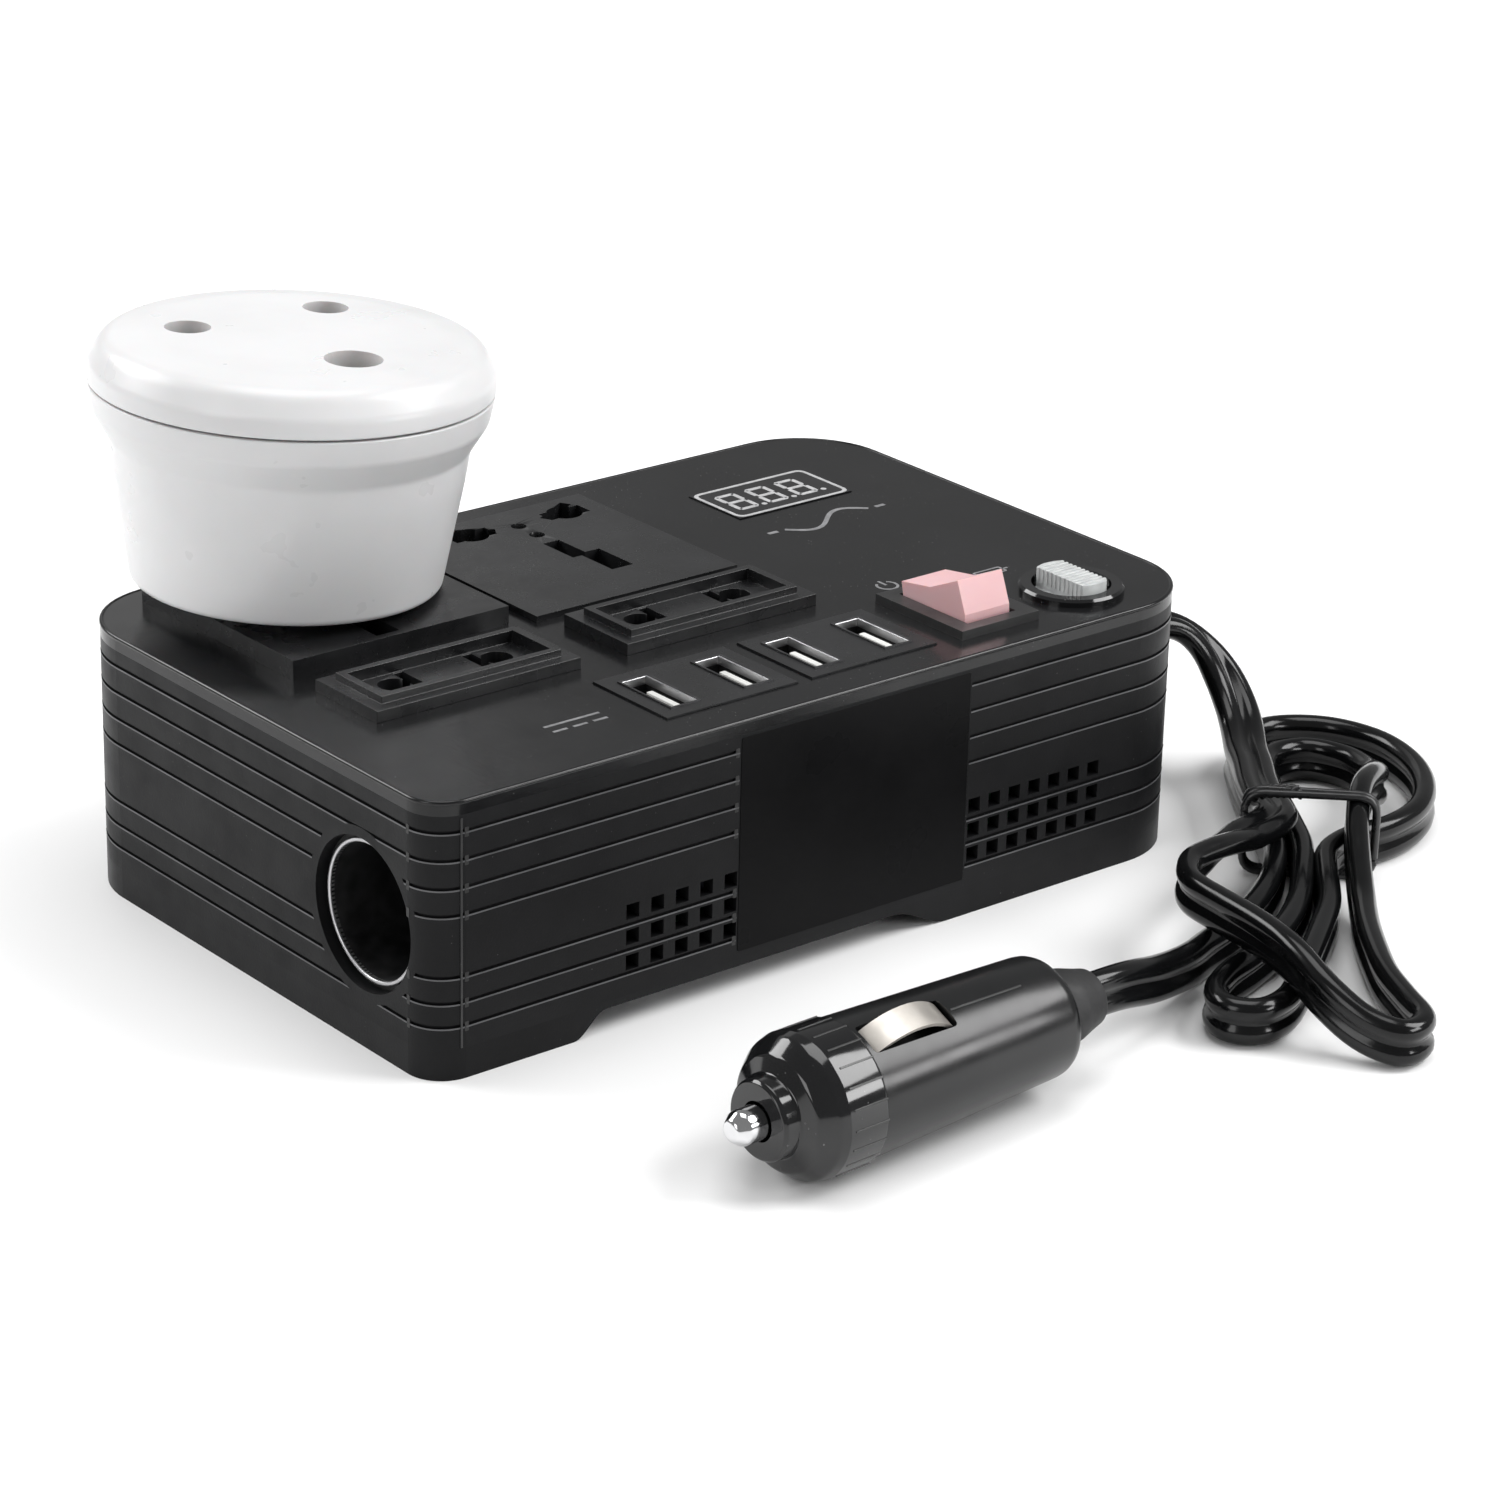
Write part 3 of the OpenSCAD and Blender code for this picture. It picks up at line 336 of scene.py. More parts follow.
def inside_materials():
    board = Surface("green_board", (0.02, 0.11, 0.045), 0.35, IOR=1.5)
    board.mottle(4, 1.5).rough(3, 0.28, 0.42).bump(board.noise(0.8), 0.03, 0.4)

    ferrite = Surface("dull_ferrite", (0.02, 0.02, 0.021), 0.7, IOR=1.5)
    ferrite.mottle(3, 1.6).rough(2, 0.6, 0.8).bump(ferrite.noise(0.3, 4.0), 0.04, 0.6)

    winding = Surface("lacquered_winding", (0.42, 0.16, 0.05), 0.3, IOR=1.5)
    winding.mottle(2, 0.6).rough(1, 0.24, 0.38)
    winding.bump(winding.noise(0.5, 1.0, (12, 12, 1)), 0.08, 0.7)

    sleeve = Surface("capacitor_sleeve", (0.012, 0.02, 0.06), 0.3, IOR=1.5)
    sleeve.mottle(4, 1.6).rough(3, 0.24, 0.38).bump(sleeve.noise(1.5), 0.03, 0.4)

    glass = Surface("fuse_glass", (0.9, 0.93, 0.93), 0.06, IOR=1.47, Transmission_Weight=0.85)
    glass.mottle(2, 0.9).rough(1.5, 0.04, 0.1).bump(glass.noise(1.5), 0.01, 0.3)
    return board, ferrite, winding, sleeve, glass


TOP, SIDE, BASE, SOCKET, LABEL, LIP_HIGHLIGHT, BEZEL, INNER = black_plastics()
PLUG, NOSE, RUBBER, VINYL, TIE = plug_and_cord_plastics()
WHITE, TONGUE, ROCKER, CLEAR, WINDOW, INK, SEGMENT = light_plastics()
CHROME, NICKEL, STEEL, DARK_STEEL, BRASS, ALLOY = metals()
BOARD, FERRITE, WINDING, SLEEVE, GLASS = inside_materials()


# ---------- shared shape helpers ----------

# Angles in degrees above which an edge stays sharp, for drawn pieces and for CAD nodes.
DRAWN_SHARP = 38
CAD_SHARP = 32
JOIN_REACH = 1e-4
WELD_REACH = 1e-6


def shade(mesh, sharp_angle):
    """Smooth shading, except across edges sharper than this."""
    for polygon in mesh.polygons:
        polygon.use_smooth = True
    mesh.set_sharp_from_angle(angle=math.radians(sharp_angle))


def round_edges(obj, width, angle=CAD_SHARP, segments=2):
    """Rounds the edges of a piece that are sharper than angle; width is in millimetres."""
    bevel = obj.modifiers.new("edges", "BEVEL")
    bevel.width = width * MM
    bevel.segments = segments
    bevel.limit_method = "ANGLE"
    bevel.angle_limit = math.radians(angle)
    bevel.harden_normals = True
    bevel.miter_outer = "MITER_ARC"


def mesh_from(bm, name):
    """The mesh of a drawn shape, whose drawing is then given up."""
    mesh = bpy.data.meshes.new(name)
    bm.to_mesh(mesh)
    bm.free()
    return mesh


def add_shape(whole, part):
    """Adds one drawn shape to another."""
    mesh = mesh_from(part, "part")
    whole.from_mesh(mesh)
    bpy.data.meshes.remove(mesh)


def drawn_object(name, bm, place=Matrix()):
    """Turns a drawn shape into an object in the row frame."""
    bmesh.ops.remove_doubles(bm, verts=bm.verts, dist=JOIN_REACH)
    bmesh.ops.recalc_face_normals(bm, faces=bm.faces)
    bm.transform(DRAWING @ place)
    return new_object(name, mesh_from(bm, name))


def piece(name, bm, body, surface, place=Matrix(), edge=0.0, sharp_angle=DRAWN_SHARP):
    """Turns a drawn shape into a visible piece that rides on a body."""
    obj = drawn_object(name, bm, place)
    shade(obj.data, sharp_angle)
    obj.data.materials.append(surface.material)
    if edge:
        round_edges(obj, edge)
    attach(obj, body)
    return obj


def dress(node, surface, edge=0.0):
    """Gives a CAD node its material and, where it shows, rounded edges."""
    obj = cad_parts[node]
    for slot in obj.material_slots:
        slot.material = surface.material
    shade(obj.data, CAD_SHARP)
    if edge:
        # faces that meet at a sharp edge come in unjoined, and a bevel needs them joined
        joined = obj.modifiers.new("joined", "WELD")
        joined.merge_threshold = WELD_REACH
        round_edges(obj, edge)
        flats = obj.modifiers.new("flats", "WEIGHTED_NORMAL")
        flats.weight = 100


def rounded(corners, closed=True, steps=5):
    """Line through corners (a, b, radius), each turned by a smooth curve of about that radius."""
    points = []
    count = len(corners)
    for i, (x, y, radius) in enumerate(corners):
        here = Vector((x, y))
        if radius == 0 or (not closed and i in (0, count - 1)):
            points.append(here)
            continue
        before = Vector(corners[i - 1][:2])
        after = Vector(corners[(i + 1) % count][:2])
        back = (before - here).normalized()
        on = (after - here).normalized()
        half = max(back.angle(on) / 2, 0.1)
        reach = radius / math.tan(half)
        start, end = here + back * reach, here + on * reach
        for k in range(steps + 1):
            t = k / steps
            points.append(start * (1 - t) ** 2 + here * 2 * t * (1 - t) + end * t * t)
    return points


def rectangle(center, size, radius=0.0, steps=5):
    """Outline of a rectangle, with rounded corners if a radius is given."""
    x, y = center
    a, b = size[0] / 2, size[1] / 2
    return rounded([(x - a, y - b, radius), (x + a, y - b, radius), (x + a, y + b, radius),
                    (x - a, y + b, radius)], steps=steps)


def prism(outline, low, high, bm=None):
    """Flat shape standing between two heights, added to bm if one is given."""
    bm = bm or bmesh.new()
    bottom = [bm.verts.new((x, y, low)) for x, y in outline]
    top = [bm.verts.new((x, y, high)) for x, y in outline]
    bm.faces.new(bottom[::-1])
    bm.faces.new(top)
    for i in range(len(outline)):
        j = (i + 1) % len(outline)
        bm.faces.new((bottom[i], bottom[j], top[j], top[i]))
    return bm


def band(outer, inner, low, high, bm=None):
    """Flat ring between two outlines with the same number of points."""
    bm = bm or bmesh.new()
    loops = [[bm.verts.new((x, y, z)) for x, y in line]
             for line, z in ((outer, low), (outer, high), (inner, high), (inner, low))]
    for loop, after in zip(loops, loops[1:] + loops[:1]):
        for i in range(len(loop)):
            j = (i + 1) % len(loop)
            bm.faces.new((loop[i], loop[j], after[j], after[i]))
    return bm


def lathe(profile, steps=128):
    """Shape turned round Z from an open line of (radius, height) points."""
    bm = bmesh.new()
    verts = [bm.verts.new((r, 0, z)) for r, z in profile]
    edges = [bm.edges.new(pair) for pair in zip(verts, verts[1:])]
    bmesh.ops.spin(bm, geom=verts + edges, cent=(0, 0, 0), axis=(0, 0, 1),
                   angle=2 * math.pi, steps=steps, use_merge=True)
    return bm


def turned_line(corners, steps=8):
    """Open line for lathe, through (radius, height, rounding) corners."""
    line = rounded(corners, closed=False, steps=steps)
    return [(max(p.x, 0), p.y) for p in line]


def arc(center, radius, start, end, steps=28):
    """Points from one angle to another, in degrees, round a centre."""
    return [(center[0] + radius * math.cos(math.radians(start + (end - start) * k / steps)),
             center[1] + radius * math.sin(math.radians(start + (end - start) * k / steps)))
            for k in range(steps + 1)]


def disc(center, radius, low, high, sides=48, bm=None):
    """Round plate standing between two heights."""
    turn = 2 * math.pi / sides
    outline = [(center[0] + radius * math.cos(i * turn), center[1] + radius * math.sin(i * turn))
               for i in range(sides)]
    return prism(outline, low, high, bm)


def steps_between(a, b, step):
    """Number of steps of about this length from one point to the next."""
    return max(2, round((b - a).length / step))


def smooth_path(points, step):
    """Evenly spaced points on one smooth curve through all the given ones."""
    points = [Vector(p) for p in points]
    gaps = [(b - a).length for a, b in zip(points, points[1:])]
    slopes = [(points[1] - points[0]) / gaps[0]]
    for i in range(1, len(points) - 1):
        before = (points[i] - points[i - 1]) / gaps[i - 1]
        after = (points[i + 1] - points[i]) / gaps[i]
        slopes.append((before * gaps[i] + after * gaps[i - 1]) / (gaps[i - 1] + gaps[i]))
    slopes.append((points[-1] - points[-2]) / gaps[-1])
    fine = []
    for i, gap in enumerate(gaps):
        count = steps_between(points[i], points[i + 1], step)
        for k in range(count):
            t = k / count
            fine.append(points[i] * (2 * t ** 3 - 3 * t ** 2 + 1)
                        + points[i + 1] * (3 * t ** 2 - 2 * t ** 3)
                        + slopes[i] * gap * (t ** 3 - 2 * t ** 2 + t)
                        + slopes[i + 1] * gap * (t ** 3 - t ** 2))
    fine.append(points[-1])
    return fine


def relax(path, rounds):
    """Takes the small kinks out of a path; its ends stay where they are."""
    for _ in range(rounds):
        path = ([path[0]] + [(a + 2 * b + c) / 4 for a, b, c in zip(path, path[1:], path[2:])]
                + [path[-1]])
    return path


# a path steeper than this keeps the side direction it had before
LEVEL_ENOUGH = 0.05


def sweep(path, section, rolls=None, closed=False):
    """Carries a section (across, up) along a path; a roll of 90 stands it on its edge."""
    bm = bmesh.new()
    rings = []
    side = Vector((1, 0, 0))
    last = len(path) - 1
    for i, point in enumerate(path):
        ahead = path[(i + 1) % len(path)] if closed else path[min(i + 1, last)]
        behind = path[i - 1] if closed else path[max(i - 1, 0)]
        along = (ahead - behind).normalized()
        level = Vector((0, 0, 1)).cross(along)
        if level.length > LEVEL_ENOUGH:
            side = level.normalized()
        up = along.cross(side).normalized()
        roll = math.radians(rolls[i]) if rolls else 0
        across = math.cos(roll) * side + math.sin(roll) * up
        above = math.cos(roll) * up - math.sin(roll) * side
        rings.append([bm.verts.new(point + across * a + above * b) for a, b in section])
    pairs = list(zip(rings, rings[1:]))
    if closed:
        pairs.append((rings[-1], rings[0]))
    else:
        bm.faces.new(rings[0][::-1])
        bm.faces.new(rings[-1])
    for ring, after in pairs:
        for k in range(len(section)):
            m = (k + 1) % len(section)
            bm.faces.new((ring[k], ring[m], after[m], after[k]))
    return bm


def circle_section(radius, sides):
    """Round section for sweep."""
    return [(radius * math.cos(2 * math.pi * k / sides), radius * math.sin(2 * math.pi * k / sides))
            for k in range(sides)]


def carve(obj, cutters):
    """Takes the cutters' shapes out of a piece for good."""
    for tool in cutters:
        cut = obj.modifiers.new("cut", "BOOLEAN")
        cut.object = tool
        cut.solver = "EXACT"
    bpy.context.view_layer.update()
    whole = obj.evaluated_get(bpy.context.evaluated_depsgraph_get())
    mesh = bpy.data.meshes.new_from_object(whole)
    obj.modifiers.clear()
    obj.data = mesh
    for tool in cutters:
        bpy.data.objects.remove(tool)


# ---------- cord ----------

CORD_W = 7.4
CORD_T = 3.8
# rolls of the lead, in degrees
FLAT = 0
ON_EDGE = 90

# Route of the flat twin lead: it leaves the case lying flat, turns over, and stands on its edge
# from there on. The first and last few points are the same as the part's own tubes.
LYING_FLAT = [
    (88, -22, 26), (92, -22.4, 25.8), (96, -23.8, 24.2), (99, -26.4, 20.8), (100, -30, 16.8),
    (98.8, -34.6, 13.2), (96.2, -39, 10.8), (93, -43, 9.8), (89, -48.5, 9.6), (84.5, -54, 9.6),
    (80, -60.5, 9.6), (77.1, -65.8, 9.8), (66, -70, 10.5),
]
TURNING_OVER = [(56, -73.5, 11.6)]
STANDING = [
    (47, -77, 11.8), (42, -82, 11.8), (40.5, -90, 11.8), (39.5, -99, 11.8), (38, -108, 11.2),
    (37, -117, 8), (38.5, -124, 5), (41.5, -128.5, 4), (46.5, -127.5, 3.9), (50, -121, 3.9),
    (54, -113, 3.9), (60, -104.5, 3.9), (66, -97, 3.9), (70.5, -92, 4.2), (77, -84.5, 6.6),
    (84, -77, 9.8), (90.5, -71.5, 11.6), (97, -67.5, 10.6), (103.5, -63, 7.6), (109, -56.5, 4.6),
    (111.5, -48.5, 3.9), (108.5, -41.8, 3.9), (102, -40.5, 3.9), (96, -45, 3.9), (90, -53.5, 3.9),
    (84.5, -62, 3.9), (79, -70, 3.9), (71, -78.2, 3.9), (62, -86, 3.9), (52, -92, 3.9),
    (42, -96, 3.9), (34, -98.5, 3.9), (28.5, -102, 3.9), (26.5, -106, 3.9), (29, -110, 3.9),
    (34.5, -110, 3.9), (42, -106, 3.9), (50, -100.5, 3.9), (58.5, -94.5, 3.9), (66.5, -88.5, 3.9),
    (74, -80.5, 3.9), (80.5, -74.5, 3.9), (86.5, -72.8, 3.9), (95, -73.5, 3.9), (104, -71.5, 3.9),
    (112.5, -65.5, 3.9), (118.5, -57, 3.9), (121, -46.5, 3.9), (118, -37, 3.9), (110, -31.5, 3.9),
    (101, -33.5, 3.9), (94, -41, 3.9), (87.5, -50, 3.9), (81.5, -59, 3.9), (75.5, -67.5, 3.9),
    (67, -75.5, 3.9), (57.5, -81.5, 3.9), (48.5, -85.5, 3.9), (40, -88.4, 4.2), (34, -91.2, 5),
    (27, -94, 6.4), (20, -96.6, 8.2), (13, -98.6, 10.2), (8, -99.4, 10.9), (4.2, -99.4, 10.9),
]
CORD_ROUTE = ([(point, FLAT) for point in LYING_FLAT]
              + [(point, (FLAT + ON_EDGE) / 2) for point in TURNING_OVER]
              + [(point, ON_EDGE) for point in STANDING])
CORD_STEP = 1.2
CORD_RELAX = 3
# angle of each round conductor's surface, measured from straight out to the crease
CREASE = math.radians(140)
CONDUCTOR_SIDES = 12
# sharp angle for pieces that are smooth all over, such as cord and wire
WIRE_SHARP = 60


def twin_section():
    """Outline of two round conductors joined side by side, with a crease between them."""
    radius = CORD_T / 2
    offset = (CORD_W - CORD_T) / 2
    right = [(offset + radius * math.cos(a), radius * math.sin(a))
             for a in (CREASE * (2 * k / CONDUCTOR_SIDES - 1) for k in range(CONDUCTOR_SIDES + 1))]
    return right + [(-x, -y) for x, y in right]


def cord_rolls(spots):
    """How far the lead is rolled over at each point of its path, from each spot's w."""
    rolls = []
    for a, b in zip(spots, spots[1:]):
        count = steps_between(a.xyz, b.xyz, CORD_STEP)
        rolls += [a.w + (b.w - a.w) * k / count for k in range(count)]
    rolls.append(spots[-1].w)
    return rolls


def add_cord():
    """The whole lead as one swept piece, with its centre line and length in metres."""
    spots = [Vector((*point, roll)) for point, roll in CORD_ROUTE]
    path = relax(smooth_path([spot.xyz for spot in spots], CORD_STEP), CORD_RELAX)
    cord = piece("lead_cord", sweep(path, twin_section(), cord_rolls(spots)), "case", VINYL,
                 sharp_angle=WIRE_SHARP)
    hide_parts("cord_lead", "cord_hank", "cord_tail")
    route = [DRAWING @ p for p in path]
    length = sum((b - a).length for a, b in zip(route, route[1:]))
    return cord, route, length


TIE_POS = (80, -70.6)
TIE_TURN = 46
TIE_SIZE = (21, 13.6)
TIE_LIFT = 0.8
TIE_CORNER_R = 3.2
TURN_OFFSETS = (-0.75, 0.75)
TURN_SPREAD = 0.02
TURN_R = 0.65
WIRE_SIDES = 8
# the two twisted ends: where they start (y, z), how far they run (x, y) and how far they droop
TWIST_R = 0.55
TWIST_COIL = (0.62, 0.62, 0.5)
TWIST_START = (2, 14.4)
TWIST_RUN = (3, 8)
TWIST_DROOP = 2.2
TWIST_HALF_TURNS = 7
TWIST_STEPS = 39


def twisted_end(start):
    """Path of one end of the tie's wire, coiled round the other one from this angle on."""
    path = []
    for k in range(TWIST_STEPS + 1):
        t = k / TWIST_STEPS
        angle = start + TWIST_HALF_TURNS * math.pi * t
        path.append(Vector((TWIST_COIL[0] * math.cos(angle) + TWIST_RUN[0] * t,
                            TWIST_START[0] + TWIST_RUN[1] * t + TWIST_COIL[1] * math.sin(angle),
                            TWIST_START[1] - TWIST_DROOP * t * t + TWIST_COIL[2] * math.cos(angle))))
    return path


def add_tie():
    """Thin wire tie: two turns round the bundle, and its two ends twisted together."""
    place = Matrix.Translation((*TIE_POS, 0)) @ Matrix.Rotation(math.radians(TIE_TURN), 4, "Z")
    bm = bmesh.new()
    loop = rectangle((0, TIE_SIZE[1] / 2 + TIE_LIFT), TIE_SIZE, TIE_CORNER_R, steps=6)
    for offset in TURN_OFFSETS:
        path = [Vector((offset + TURN_SPREAD * y * offset, y, z)) for y, z in loop]
        add_shape(bm, sweep(path, circle_section(TURN_R, WIRE_SIDES), closed=True))
    for start in (0, math.pi):
        add_shape(bm, sweep(twisted_end(start), circle_section(TWIST_R, WIRE_SIDES)))
    tie = piece("cord_tie_wire", bm, "case", TIE, place, sharp_angle=WIRE_SHARP)
    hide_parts("cord_tie")
    return tie


# ---------- plug ----------

PLUG_TIP = (-64.3, -101.8)
PLUG_R = 10.9
PLUG_TURN = 2
RING_START = 12.4
RING_END = 19.6
BODY_END = 60
RELIEF_END = 69
CONTACT_X = (20.6, 36.6)
CONTACT_TURN = 65
CONTACT_SLOT_W = 5.2
CONTACT_SLOT_R = (5.5, 14)
RIBS = 22
RIB_W = 0.3
RIB_RISE = 0.1
BODY_MIDDLE_R = 9.7
BODY_TAPER = 2
MOULD_LINE_W = 0.3
MOULD_LINE_RISE = 0.12
# how deep a raised line is rooted in the surface it stands on
ROOT = 0.3

PLUG_FRAME = (Matrix.Translation((*PLUG_TIP, PLUG_R))
              @ Matrix.Rotation(math.radians(PLUG_TURN), 4, "Z"))
# a turned shape is drawn round Z, and this lays its axis along the plug
LAID_DOWN = Matrix.Rotation(math.radians(90), 4, "Y")


def plug_lathe(corners, steps=5):
    """Turned piece along the plug, from (distance from tip, radius, rounding) corners."""
    return lathe(turned_line([(r, s, bend) for s, r, bend in corners], steps))


def contact_slot(turn):
    """Slot in the plug's side for one bowed contact."""
    middle = sum(CONTACT_X) / 2
    outline = rectangle((middle, 0), (CONTACT_X[1] - CONTACT_X[0], CONTACT_SLOT_W), 0.8)
    place = PLUG_FRAME @ Matrix.Rotation(math.radians(turn - 90), 4, "X")
    return drawn_object("cutter", prism(outline, *CONTACT_SLOT_R), place)


def add_mould_line():
    """Fine raised line along the body, behind the upper contact, left by its mould."""
    start, end = CONTACT_X[1] + 0.4, BODY_END - 9
    place = (PLUG_FRAME @ Matrix.Rotation(math.radians(90 - CONTACT_TURN), 4, "X")
             @ Matrix.Translation(((start + end) / 2, 0, BODY_MIDDLE_R))
             @ Matrix.Rotation(math.radians(BODY_TAPER), 4, "Y"))
    outline = rectangle((0, 0), (end - start, MOULD_LINE_W), 0.1)
    line = prism(outline, -ROOT, MOULD_LINE_RISE)
    return piece("plug_mould_line", line, "case", BEZEL, place, edge=0.06)


def add_ring_ribs():
    """Fine raised grip ribs round the nose cap's ring, in a lighter grey than the cap as a painted
    highlight; none of them is at its very bottom.
    """
    ribs = bmesh.new()
    line = rectangle(((RING_START + RING_END) / 2 + 0.6, 0), (RING_END - RING_START - 1, RIB_W))
    for i in range(RIBS):
        rib = prism(line, PLUG_R - ROOT, PLUG_R + RIB_RISE)
        rib.transform(Matrix.Rotation(2 * math.pi * (i + 0.5) / RIBS, 4, "X"))
        add_shape(ribs, rib)
    # painted highlight: the ribs' lighter grey stands in for the light their raised edges catch
    return piece("plug_ring_ribs", ribs, "case", BEZEL, PLUG_FRAME, edge=0.06)


def add_plug():
    """Body, nose cap, tip and strain relief of the lighter plug, and the body's fine lines."""
    place = PLUG_FRAME @ LAID_DOWN
    body = plug_lathe([(RING_END + 0.05, 3.6, 0), (RING_END + 0.05, PLUG_R - 0.35, 0.3),
                       (BODY_END - 10, 9.5, 30), (BODY_END - 0.4, 9.15, 2.6),
                       (BODY_END, 5.6, 0.6), (BODY_END, 3.6, 0)])
    body = piece("plug_shell", body, "case", PLUG, place)
    carve(body, [contact_slot(180 - CONTACT_TURN), contact_slot(-CONTACT_TURN)])
    shade(body.data, DRAWN_SHARP)
    round_edges(body, 0.25)
    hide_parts("plug_body")

    cap = plug_lathe([(5, 3.0, 0), (5, 5.6, 0.35), (5.5, 6.0, 0.5), (7.7, 6.15, 0.5),
                      (8.6, 8.6, 1.4), (11.2, 10.5, 2.2), (RING_START + 0.3, PLUG_R, 0.5),
                      (RING_END, PLUG_R, 0.25), (RING_END, 3.8, 0), (RING_START - 3, 3.8, 0),
                      (RING_START - 3, 3.0, 0), (5, 3.0, 0)])
    cap = piece("plug_nose_cap", cap, "case", NOSE, place)
    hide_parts("plug_cap")

    tip = plug_lathe([(0, 0, 0), (0, 1.5, 1.0), (1.6, 2.62, 1.6), (RING_START - 2.9, 2.65, 0.1),
                      (RING_START - 2.9, 3.4, 0.1), (RING_START - 1.7, 3.4, 0.1),
                      (RING_START - 1.7, 0, 0)], steps=8)
    tip = piece("plug_tip_pin", tip, "tip", CHROME, place)
    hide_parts("plug_tip")

    relief = plug_lathe([(BODY_END - 4, 0, 0), (BODY_END - 4, 3.5, 0), (BODY_END, 3.5, 0),
                         (BODY_END, 5.9, 0.8), (BODY_END + 4, 5.7, 5), (RELIEF_END - 2, 4.8, 2),
                         (RELIEF_END, 4.3, 0.6), (RELIEF_END, 0, 0)])
    relief = piece("plug_strain_relief", relief, "case", RUBBER, place)
    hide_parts("plug_relief")
    return [body, cap, tip, relief, add_ring_ribs(), add_mould_line()]


# ---------- adapter ----------

ADAPTER_POS = (-47.5, 30)
ADAPTER_Z = CASE_H + 3.2 + 1.5
ADAPTER_LEAN = 3
ADAPTER_FRAME = (Matrix.Translation((*ADAPTER_POS, ADAPTER_Z))
                 @ Matrix.Rotation(math.radians(ADAPTER_LEAN), 4, "Y"))
ADAPTER_SEAM = 31.5
ADAPTER_H = 39.4
ADAPTER_RIM_R = 31.3
NECK_R = 27.5
FOOT_R = 24.4
# the three line openings in the face: x, y, radius
ADAPTER_HOLES = ((-12.7, 10, 3.6), (12.7, 10, 3.6), (0, -16, 4.5))
ADAPTER_STEPS = 192
HOLE_DEPTH = 8
SHUTTER_Z = (ADAPTER_H - 14, ADAPTER_H - 13)
SHUTTER_FIT = 0.25


def add_adapter():
    """The travel adapter: its two turned shells, and a shutter inside each line opening."""
    rim, top = ADAPTER_RIM_R, ADAPTER_H
    below, above = ADAPTER_SEAM - 0.25, ADAPTER_SEAM + 0.1
    base = lathe(turned_line([
        (0, 0, 0), (FOOT_R - 0.2, 0, 1.4), (NECK_R - 0.3, 18, 24), (NECK_R + 0.3, 22.6, 3.0),
        (rim - 0.8, 27.2, 3.4), (rim - 0.05, below, 0.3), (rim - 0.5, below, 0.1),
        (rim - 2.4, below, 0), (NECK_R - 2.4, 22, 2), (FOOT_R - 2.6, 3, 0), (0, 3, 0)]),
        ADAPTER_STEPS)
    base = piece("adapter_shell", base, "adapter", WHITE, ADAPTER_FRAME)
    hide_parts("adapter_base")

    cap = lathe(turned_line([
        (0, top - 3, 0), (0, top, 0), (rim - 8, top - 0.2, 20), (rim - 2.2, top - 1.0, 4.0),
        (rim - 0.02, top - 5.0, 3.0), (rim - 0.02, above, 0.3), (rim - 0.5, above, 0.1),
        (rim - 2.4, above, 0), (rim - 2.4, top - 4.4, 0), (rim - 5, top - 3, 0),
        (0, top - 3, 0)]), ADAPTER_STEPS)
    cap = piece("adapter_face_cap", cap, "adapter", WHITE, ADAPTER_FRAME)
    carve(cap, [drawn_object("cutter", disc((x, y), r, top - HOLE_DEPTH, top + 4), ADAPTER_FRAME)
                for x, y, r in ADAPTER_HOLES])
    shade(cap.data, DRAWN_SHARP)
    round_edges(cap, 0.35, 50, 3)
    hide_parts("adapter_cap")

    # dark shutters inside the openings, with the brass contacts behind them
    for number, (x, y, r) in enumerate(ADAPTER_HOLES, 1):
        shutter = disc((x, y), r - SHUTTER_FIT, *SHUTTER_Z)
        piece(f"adapter_shutter_{number}", shutter, "adapter", INNER, ADAPTER_FRAME,
              edge=0.15)


# ---------- case details ----------

CORNER_STEPS = 14
RIM_R = 0.4
RIM_INSET = 0.27
RIM_SIDES = 16
RIM_SHARP = 80
# the smooth field of the front, between the grooves
LABEL_X = (-20.6, 25.3)
LABEL_Z = (6.2, 41)
FILM = (-0.05, 0.1)
# where the near corner's curve ends, on the front and on the left wall
NEAR_EDGE_X = -70.4
CORNER_EDGE_Y = -43.4
# the grooves, as fractions of the case's height from its top
GROOVE_LEVELS = (0.107, 0.207, 0.307, 0.404, 0.625, 0.718, 0.804)
GROOVE_H = 0.5
LIP_H = 0.26
LIP_GAP = 0.02
LIP_INSET = (-0.04, 0.3)
TICK = (0.7, 1.5)
TICK_DROP = 0.3
TICK_RISE = 0.04
CORNER_LINE = (0.35, 36)
CORNER_LINE_Z = 23
# the plain ring round the lighter socket, as ((y, z), radius) on the left wall
SOCKET_RING = ((-32, 21.2), 13.6)
SLEEVE_R = (10.5, 11.2)
SLEEVE_LIP = 0.9
SLEEVE_FRONT = -CASE_L / 2 + 1.4

# places that stand a flat shape up against the front and against the left wall
ON_FRONT = Matrix.Translation((0, FRONT, 0)) @ Matrix.Rotation(math.radians(90), 4, "X")
ON_LEFT = (Matrix.Translation((-CASE_L / 2, 0, 0)) @ Matrix.Rotation(math.radians(-90), 4, "Z")
           @ Matrix.Rotation(math.radians(90), 4, "X"))


def case_outline(inset):
    """Outline of the case seen from above: three large corners and one small one."""
    points = []
    for right, far, radius in ((-1, -1, NEAR_R), (1, -1, CORNER_R), (1, 1, CORNER_R),
                               (-1, 1, CORNER_R)):
        middle = (right * (CASE_L / 2 - radius), far * (CASE_W / 2 - radius))
        first = math.degrees(math.atan2(far, right)) - 45
        points += arc(middle, radius - inset, first, first + 90, CORNER_STEPS)
    return points


def add_top_rim():
    """Rounded rim along the top face's edge, which catches a thin line of light."""
    path = [Vector((x, y, CASE_H - RIM_INSET)) for x, y in case_outline(RIM_INSET)]
    rim = sweep(path, circle_section(RIM_R, RIM_SIDES), closed=True)
    piece("top_rim", rim, "case", TOP, sharp_angle=RIM_SHARP)


